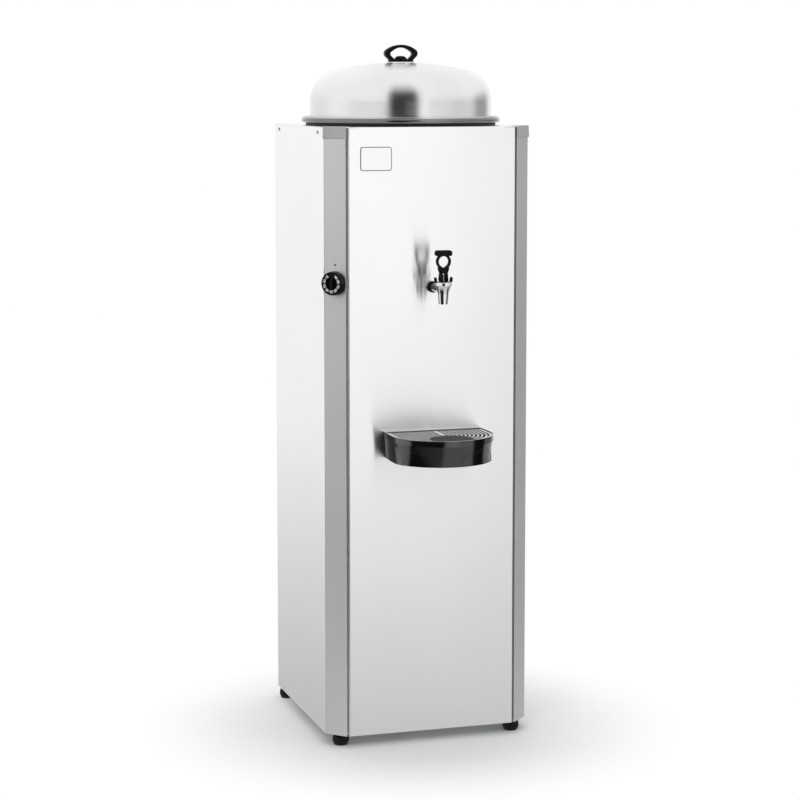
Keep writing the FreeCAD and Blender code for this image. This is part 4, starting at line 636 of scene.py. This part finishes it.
def floor_in_metal(tree, stage, angle, away):
    """Painted brightness of the floor in reflections: painted shadow makes it greyer near the object, and
    painted shade makes it dark in two sectors, the flags, and towards the card.
    """
    near = add(tree, "MapRange", {"Value": away, "From Min": stage.floor_start, "From Max": stage.floor_end,
                                  "To Min": stage.floor_near, "To Max": stage.floor_far}).outputs["Result"]
    left = sector(tree, angle, stage.left_flag, stage.left_half, stage.flag_soft)
    right = sector(tree, angle, stage.right_flag, stage.right_half, stage.flag_soft)
    both = add(tree, "Math", {0: left, 1: right}, operation="MAXIMUM").outputs["Value"]
    beyond = add(tree, "MapRange", {"Value": away, "From Min": stage.flag_start,
                                    "From Max": stage.flag_full}).outputs["Result"]
    within = add(tree, "MapRange", {"Value": away, "From Min": stage.flag_reach, "From Max": stage.flag_end,
                                    "To Min": 1.0, "To Max": 0.0}).outputs["Result"]
    band = add(tree, "Math", {0: beyond, 1: within}, operation="MULTIPLY").outputs["Value"]
    flags = add(tree, "Math", {0: both, 1: band}, operation="MULTIPLY").outputs["Value"]
    across = sector(tree, angle, stage.card_middle, stage.card_half, stage.card_soft)
    far = add(tree, "MapRange", {"Value": away, "From Min": stage.card_near,
                                 "From Max": stage.card_far}).outputs["Result"]
    card = add(tree, "Math", {0: across, 1: far}, operation="MULTIPLY").outputs["Value"]
    dark = add(tree, "Math", {0: flags, 1: card}, operation="MAXIMUM").outputs["Value"]
    return add(tree, "MapRange", {"Value": dark, "To Min": near,
                                  "To Max": stage.flag_shade}).outputs["Result"]


def make_floor(stage):
    """Wide pale paper: its shade shows near the object and fades to white further out.

    Reflections see it glowing, in a painted brightness that holds painted shade near the object and in dark
    sectors, and in the colour that studio_walls gives.
    """
    corners = [(x * floor_half, y * floor_half, 0) for x, y in ((-1, -1), (1, -1), (1, 1), (-1, 1))]
    mesh = bpy.data.meshes.new("floor")
    mesh.from_pydata(corners, [], [(0, 1, 2, 3)])
    floor = new_object("floor", mesh)
    material = bpy.data.materials.new("paper_white_matt")
    tree = empty_tree(material)
    place = add(tree, "TexCoord").outputs["Object"]
    away = add(tree, "VectorMath", {0: place}, operation="LENGTH").outputs["Value"]
    fade = add(tree, "MapRange", {"Value": away, "From Min": stage.fade_start, "From Max": stage.fade_end},
               interpolation_type="SMOOTHSTEP").outputs["Result"]
    path = add(tree, "LightPath").outputs
    mirrored = add(tree, "Math", {0: path["Is Glossy Ray"], 1: path["Is Transmission Ray"]},
                   operation="MAXIMUM").outputs["Value"]
    seen = add(tree, "Math", {0: path["Is Camera Ray"], 1: fade}, operation="MULTIPLY").outputs["Value"]
    shown = add(tree, "Math", {0: seen, 1: mirrored}, operation="MAXIMUM").outputs["Value"]
    angle = heading(tree, place)
    in_metal = floor_in_metal(tree, stage, angle, away)
    far = add(tree, "MapRange", {"Value": away, "From Min": stage.tint_start,
                                 "From Max": stage.tint_end}).outputs["Result"]
    tinted = add(tree, "Math", {0: far, 1: mirrored}, operation="MULTIPLY").outputs["Value"]
    tone = studio_walls(tree, angle, tinted, stage)
    strength = add(tree, "MapRange", {"Value": mirrored, "To Min": 1.0, "To Max": in_metal}).outputs["Result"]
    fibres = spots(tree, 3 * mm)
    paper = add(tree, "Mix", {"Factor": fibres, mix_a: linear("#F4F4F4"), mix_b: linear("#FBFBFB")},
                data_type="RGBA").outputs[mix_result]
    matt = add(tree, "BsdfDiffuse", {"Color": paper}).outputs["BSDF"]
    white = add(tree, "Emission", {"Color": tone, "Strength": strength}).outputs["Emission"]
    mixed = add(tree, "MixShader", {0: shown, 1: matt, 2: white}).outputs["Shader"]
    add(tree, "OutputMaterial", {"Surface": mixed})
    mesh.materials.append(material)


def make_lamp(name, position, size, power):
    """Square softbox aimed at the object. It lights only: the surroundings make the reflections."""
    lamp = bpy.data.lights.new(name, "AREA")
    lamp.size = size
    lamp.energy = power
    holder = new_object(name, lamp)
    holder.location = position
    holder.rotation_euler = (lamp_target - Vector(position)).to_track_quat("-Z", "Y").to_euler()
    holder.visible_glossy = False


def make_camera(stage):
    """Camera turned right and down, with the small shift that the framing needs."""
    camera = bpy.data.cameras.new("camera")
    camera.lens = stage.camera_lens
    camera.shift_y = stage.camera_shift
    camera.clip_end = 100.0
    holder = new_object("camera", camera)
    holder.location = stage.camera_place
    holder.rotation_euler = (math.pi / 2 - stage.camera_pitch, 0, -stage.camera_yaw)
    bpy.context.scene.camera = holder


# Settings

def a_number(name, description, default, **kind):
    """Setting for a number, with its unit or subtype if it has one."""
    return bpy.props.FloatProperty(name=name, description=description, default=default, **kind)


def a_share(name, description, default):
    """Setting for a share, from nothing to one."""
    return a_number(name, description, default, subtype="FACTOR")


def a_length(name, description, default):
    """Setting for a length in metres."""
    return a_number(name, description, default, unit="LENGTH")


def an_angle(name, description, degrees):
    """Setting for an angle, written in degrees and kept in radians."""
    return a_number(name, description, math.radians(degrees), subtype="ANGLE")


def a_power(name, description, watts):
    """Setting for a lamp's power in watts."""
    return a_number(name, description, watts, subtype="POWER", unit="POWER")


def a_count(name, description, default):
    """Setting for a whole number."""
    return bpy.props.IntProperty(name=name, description=description, default=default)


def a_colour(name, description, code):
    """Setting for a colour, written as an sRGB hex code."""
    return bpy.props.StringProperty(name=name, description=description + ", in sRGB hex", default=code)


class StageSettings(bpy.types.PropertyGroup):
    """Camera, surroundings and lamps."""
    camera_place: bpy.props.FloatVectorProperty(
        name="Camera place", description="Where the camera stands", default=(-1.311, -4.168, 1.25),
        subtype="TRANSLATION", unit="LENGTH")
    camera_yaw: an_angle("Camera yaw", "How far the camera is turned to the right", 17.18)
    camera_pitch: an_angle("Camera pitch", "How far the camera looks down", 6.59)
    camera_lens: a_number("Lens", "Focal length on a 36 mm sensor", 103.1)
    camera_shift: a_number("Shift", "Upward shift of the lens", -0.07)
    ambient: a_number("Ambient", "Strength of the even light from all round", 0.62)
    key_power: a_power("Key", "Power of the front left softbox", 46.0)
    fill_power: a_power("Fill", "Power of the front right softbox", 18.0)
    top_power: a_power("Top", "Power of the overhead softbox", 30.0)
    wall_colour: a_colour("Wall colour", "Colour of the studio's walls in reflections", "#FFFFFF")
    rear_colour: a_colour("Rear colour", "Colour of the studio's rear in reflections", "#F3F3F3")
    rear_half: an_angle("Rear half width", "Half angle that the rear covers", 60)
    right_colour: a_colour("Right colour", "Colour of the studio's right wall in reflections", "#E8E8E8")
    right_middle: an_angle("Right middle", "Heading of the right wall's middle", 60.5)
    right_half_width: an_angle("Right half width", "Half angle that the right wall covers", 41)
    right_soft: an_angle("Right softness", "Angle over which the right wall's edge fades", 2)
    wall_top: an_angle("Wall top", "Elevation at which the greyer walls begin to whiten", 2)
    wall_end: an_angle("Wall end", "Elevation above which all is white", 16)
    studio_strength: a_number("Studio strength", "Brightness of the studio in reflections", 1.06)
    side_colour: a_colour("Side colour", "Colour of the studio's right side in reflections", "#9C9C9C")
    side_middle: an_angle("Side middle", "Heading of the greyer side's middle", 108)
    side_half: an_angle("Side half width", "Half angle that the greyer side covers", 18)
    side_soft: an_angle("Side softness", "Angle over which the side fades", 8)
    card_colour: a_colour("Card colour", "Colour of the dark card behind the camera", "#2C2C2C")
    card_middle: an_angle("Card middle", "Heading of the dark card's middle", -13.5)
    card_half: an_angle("Card half width", "Half angle that the dark card covers", 19)
    card_soft: an_angle("Card softness", "Angle over which the card's sides fade", 4)
    card_top: an_angle("Card top", "How high the dark card reaches", 50)
    card_fade: an_angle("Card fade", "Angle over which the card's top fades", 24)
    # The floor darkened towards the card is painted shade, seen only in reflections.
    card_near: a_length("Card near", "Distance at which the card begins to darken the floor", 4.0)
    card_far: a_length("Card far", "Distance at which the card is darkest", 8.0)
    # The near floor's darker brightness in reflections is the object's painted shadow.
    floor_near: a_share("Near floor in metal", "Brightness of the near floor in reflections", 0.5)
    floor_far: a_share("Far floor in metal", "Brightness of the far floor in reflections", 1.0)
    floor_start: a_length("Floor start", "Distance at which the mirrored floor begins to brighten", 0.2)
    floor_end: a_length("Floor end", "Distance at which the mirrored floor is brightest", 4.0)
    # The flags are dark sectors painted on the floor and seen only in reflections: painted shade, with no
    # flag in the scene.
    left_flag: an_angle("Left flag", "Heading of the dark floor flag at the front left", -47)
    left_half: an_angle("Left flag half width", "Half angle that the left flag covers", 38)
    right_flag: an_angle("Right flag", "Heading of the dark floor flag at the right", 72)
    right_half: an_angle("Right flag half width", "Half angle that the right flag covers", 18)
    flag_soft: an_angle("Flag softness", "Angle over which the flags' edges fade", 4)
    tint_start: a_length("Tint start", "Distance at which the floor begins to take the walls' colour", 0.5)
    tint_end: a_length("Tint end", "Distance at which the floor has the walls' colour", 3.5)
    flag_start: a_length("Flag start", "Distance at which the flags begin", 0.6)
    flag_full: a_length("Flag full", "Distance at which the flags are darkest", 1.2)
    flag_reach: a_length("Flag reach", "Distance at which the flags begin to fade", 6.5)
    flag_end: a_length("Flag end", "Distance at which the flags have faded", 10.4)
    flag_shade: a_share("Flag shade", "Brightness of the flags in reflections", 0.02)
    fade_start: a_length("Fade start", "Distance at which the floor's shade begins to fade", 0.2)
    fade_end: a_length("Fade end", "Distance at which the floor is all white", 0.55)


class SteelSettings(bpy.types.PropertyGroup):
    """Look of the cabinet's steel."""
    roughness: a_share("Roughness", "Roughness of the brushed panels", 0.2)
    line: a_length("Brush line", "Width of a brush line as drawn", 1.1 * mm)
    dark: a_colour("Sheet dark", "Darker colour of the brushed sheet", "#F9F9F9")
    light: a_colour("Sheet light", "Lighter colour of the brushed sheet", "#FDFDFD")
    post_dark: a_colour("Post dark", "Darker colour of the corner posts", "#DCDCDD")
    post_light: a_colour("Post light", "Lighter colour of the corner posts", "#E4E4E5")


class MarkSettings(bpy.types.PropertyGroup):
    """Numbers on the knob and the dot beside it."""
    first_number: a_count("First number", "Lowest number on the dial", 10)
    last_number: a_count("Last number", "Highest number on the dial", 90)
    number_step: a_count("Step", "Difference between two numbers", 10)
    number_height: a_length("Number height", "Height of a printed number", 5.0 * mm)
    number_ring: a_length("Number ring", "Radius on which the numbers stand", 14.8 * mm)
    number_weight: a_length("Number weight", "How much the strokes are thickened", 0.12 * mm)
    top_gap: an_angle("Top gap", "Angle without numbers at the top", 80)
    ink_thickness: a_length("Ink thickness", "Thickness of the printed film", 0.04 * mm)
    dot_radius: a_length("Dot radius", "Radius of the index dot", 2.0 * mm)
    dot_thickness: a_length("Dot thickness", "Thickness of the index dot's film", 0.06 * mm)
    dot_height: a_length("Dot height", "Height of the index dot above the floor", 910.5 * mm)


class PlateSettings(bpy.types.PropertyGroup):
    """Blank plate on the front panel."""
    centre_x: a_length("Centre", "Sideways place of the plate", -109 * mm)
    centre_z: a_length("Height", "Height of the plate's middle", 1105 * mm)
    width: a_length("Width", "Width of the plate", 60 * mm)
    height: a_length("Plate height", "Height of the plate", 44 * mm)
    corner: a_length("Corner", "Corner radius of the plate", 5 * mm)
    thickness: a_length("Thickness", "Thickness of the plate", 0.8 * mm)
    rim: a_length("Rim", "Width of the plate's dark rim", 1.3 * mm)
    rim_edge: a_length("Rim edge", "Radius of the rim's rolled edge", 0.3 * mm)
    face_edge: a_length("Face edge", "Radius of the face's rolled edge", 0.1 * mm)
    proud: a_length("Proud", "How far the face stands out of its rim", 0.15 * mm)


class BeadSettings(bpy.types.PropertyGroup):
    """Rolled bead round the tank's rim."""
    radius: a_length("Radius", "Radius of the bead's middle line", 187.5 * mm)
    half_width: a_length("Half width", "Half the bead's width", 3.4 * mm)
    half_height: a_length("Half height", "Half the bead's height", 4.6 * mm)
    height: a_length("Height", "Height of the bead's middle line", 1172.8 * mm)


class FastenerSettings(bpy.types.PropertyGroup):
    """Screws and threads."""
    apart: a_length("Apart", "Distance less than that between two screws", 20 * mm)
    head_height: a_length("Head height", "Height of a pan head", 1.6 * mm)
    shank_radius: a_length("Shank radius", "Radius of a screw's shank", 2.0 * mm)
    stud_pitch: a_length("Stud pitch", "Thread pitch of the feet's studs", 1.25 * mm)
    stud_depth: a_length("Thread depth", "Depth of the studs' thread", 0.65 * mm)


# Operators

class DISPENSER_OT_stage(bpy.types.Operator):
    """Sets the floor, surroundings, lamps and camera"""
    bl_idname = "dispenser.stage"
    bl_label = "Stage"

    def execute(self, context):
        stage = context.scene.dispenser_stage
        make_world(stage)
        make_floor(stage)
        for name, place, side in softboxes:
            make_lamp(name + "_softbox", place, side, getattr(stage, name + "_power"))
        make_camera(stage)
        context.scene.view_settings.view_transform = "Standard"
        return {"FINISHED"}


class DISPENSER_OT_finishes(bpy.types.Operator):
    """Gives every node the finish of its material slot"""
    bl_idname = "dispenser.finishes"
    bl_label = "Finishes"

    def execute(self, context):
        finishes = make_finishes(context.scene.dispenser_steel)
        for part in frame["record"]["subparts"]:
            node = frame["nodes"][part["node"]]
            slot = own_finish.get(part["node"], part["material_slot"])
            node.data.materials.clear()
            node.data.materials.append(finishes[slot])
        return {"FINISHED"}


class DISPENSER_OT_knob_marks(bpy.types.Operator):
    """Prints the numbers on the knob and the index dot on the post"""
    bl_idname = "dispenser.knob_marks"
    bl_label = "Knob marks"

    def execute(self, context):
        marks = context.scene.dispenser_marks
        white = pad_ink("ink_white_pad_printed", ("#DADADA", "#F0F0F0"))
        black = pad_ink("ink_black_pad_printed", ("#1A1A1A", "#262626"))
        wear(printed_numbers(marks), white, "knob")
        seat = (post_middle + up * marks.dot_height, post_right, post_out)
        wear(disc("index_dot", marks.dot_radius, marks.dot_thickness, seat), black, "cabinet")
        return {"FINISHED"}


class DISPENSER_OT_blank_plate(bpy.types.Operator):
    """Fixes a blank rimmed plate to the front panel"""
    bl_idname = "dispenser.blank_plate"
    bl_label = "Blank plate"

    def execute(self, context):
        plate = context.scene.dispenser_plate
        seat = (Vector((plate.centre_x, front_y, plate.centre_z)), Vector((1, 0, 0)), Vector((0, -1, 0)))
        rim = rounded_slab("blank_plate_rim", plate.width, plate.height, plate.corner, plate.thickness,
                           plate.rim_edge, seat)
        wear(rim, pad_ink("enamel_dark_screened", ("#2A2A2C", "#343436")), "cabinet")
        face = rounded_slab("blank_plate_face", plate.width - 2 * plate.rim, plate.height - 2 * plate.rim,
                            plate.corner - plate.rim, plate.thickness + plate.proud, plate.face_edge, seat)
        satin = brushed_metal("aluminium_anodised_satin", ("#F9F9F9", "#FDFDFD"), (0.2, 0.24), 0.8 * mm, "XY")
        wear(face, satin, "cabinet")
        return {"FINISHED"}


class DISPENSER_OT_rim_bead(bpy.types.Operator):
    """Rolls an oval bead along the tank's rim"""
    bl_idname = "dispenser.rim_bead"
    bl_label = "Rim bead"

    def execute(self, context):
        bead = context.scene.dispenser_bead
        centre = (tank_axis[0], tank_axis[1], bead.height)
        piece = hoop("rim_bead", bead.radius, bead.half_width, bead.half_height, centre)
        # The bead's spun stainless is a much darker copy of the dome's: painted shade along the rim.
        satin = spun_metal("stainless_rolled_satin", ("#707072", "#88888A"), (0.16, 0.24), 0.7 * mm)
        wear(piece, satin, "cabinet")
        return {"FINISHED"}


class DISPENSER_OT_screws(bpy.types.Operator):
    """Puts cross-recessed screws in place of the plain ones"""
    bl_idname = "dispenser.screws"
    bl_label = "Screws"

    def execute(self, context):
        size = context.scene.dispenser_fasteners
        for node in ("side_screws", "rear_screws", "tray_screws"):
            screws = []
            for low, high in solid_boxes(node, size.apart):
                long_side = int(np.argmax(high - low))
                middle = Vector((low + high) / 2)
                out = Vector((0, 0, 0))
                out[long_side] = math.copysign(1, middle[long_side] - cabinet_middle[long_side])
                long, wide = (high - low)[long_side], (high - low)[2]
                seat = (middle + out * (long / 2 - size.head_height), up.cross(out), out)
                screws.append(pan_screw("screw", wide / 2, size.head_height, size.shank_radius,
                                        long - size.head_height, seat))
            piece = joined(node + "_recessed", screws)
            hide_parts(node)
            wear(piece, bpy.data.materials["steel_zinc_plated"], "cabinet")
        return {"FINISHED"}


class DISPENSER_OT_threads(bpy.types.Operator):
    """Puts threaded studs in place of the feet's plain ones"""
    bl_idname = "dispenser.threads"
    bl_label = "Threads"

    def execute(self, context):
        size = context.scene.dispenser_fasteners
        for corner in ("front_left", "front_right", "rear_left", "rear_right"):
            node = corner + "_stud"
            low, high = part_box(node)
            centre = ((low.x + high.x) / 2, (low.y + high.y) / 2)
            radius = (high.x - low.x) / 2
            piece = threaded_rod(node + "_threaded", radius, size.stud_depth, size.stud_pitch, low.z, high.z,
                                 centre)
            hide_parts(node)
            wear(piece, bpy.data.materials["steel_zinc_plated"], node)
        return {"FINISHED"}


class DISPENSER_PT_panel(bpy.types.Panel):
    """Lists the dispenser's operators"""
    bl_idname = "DISPENSER_PT_panel"
    bl_label = "Dispenser"
    bl_space_type = "VIEW_3D"
    bl_region_type = "UI"
    bl_category = "Dispenser"

    def draw(self, context):
        for operator in operators:
            self.layout.operator(operator.bl_idname)


operators = (DISPENSER_OT_stage, DISPENSER_OT_finishes, DISPENSER_OT_knob_marks, DISPENSER_OT_blank_plate,
             DISPENSER_OT_rim_bead, DISPENSER_OT_screws, DISPENSER_OT_threads)
settings_groups = {"dispenser_stage": StageSettings, "dispenser_steel": SteelSettings,
                   "dispenser_marks": MarkSettings, "dispenser_plate": PlateSettings,
                   "dispenser_bead": BeadSettings, "dispenser_fasteners": FastenerSettings}


def register():
    for name, group in settings_groups.items():
        bpy.utils.register_class(group)
        setattr(bpy.types.Scene, name, bpy.props.PointerProperty(type=group))
    for kind in (*operators, DISPENSER_PT_panel):
        bpy.utils.register_class(kind)


def unregister():
    for kind in (DISPENSER_PT_panel, *operators):
        bpy.utils.unregister_class(kind)
    for name, group in settings_groups.items():
        delattr(bpy.types.Scene, name)
        bpy.utils.unregister_class(group)


def main():
    register()
    bpy.ops.dispenser.stage()
    bpy.ops.dispenser.finishes()
    bpy.ops.dispenser.knob_marks()
    bpy.ops.dispenser.blank_plate()
    bpy.ops.dispenser.rim_bead()
    bpy.ops.dispenser.screws()
    bpy.ops.dispenser.threads()


if __name__ == "__main__":
    main()
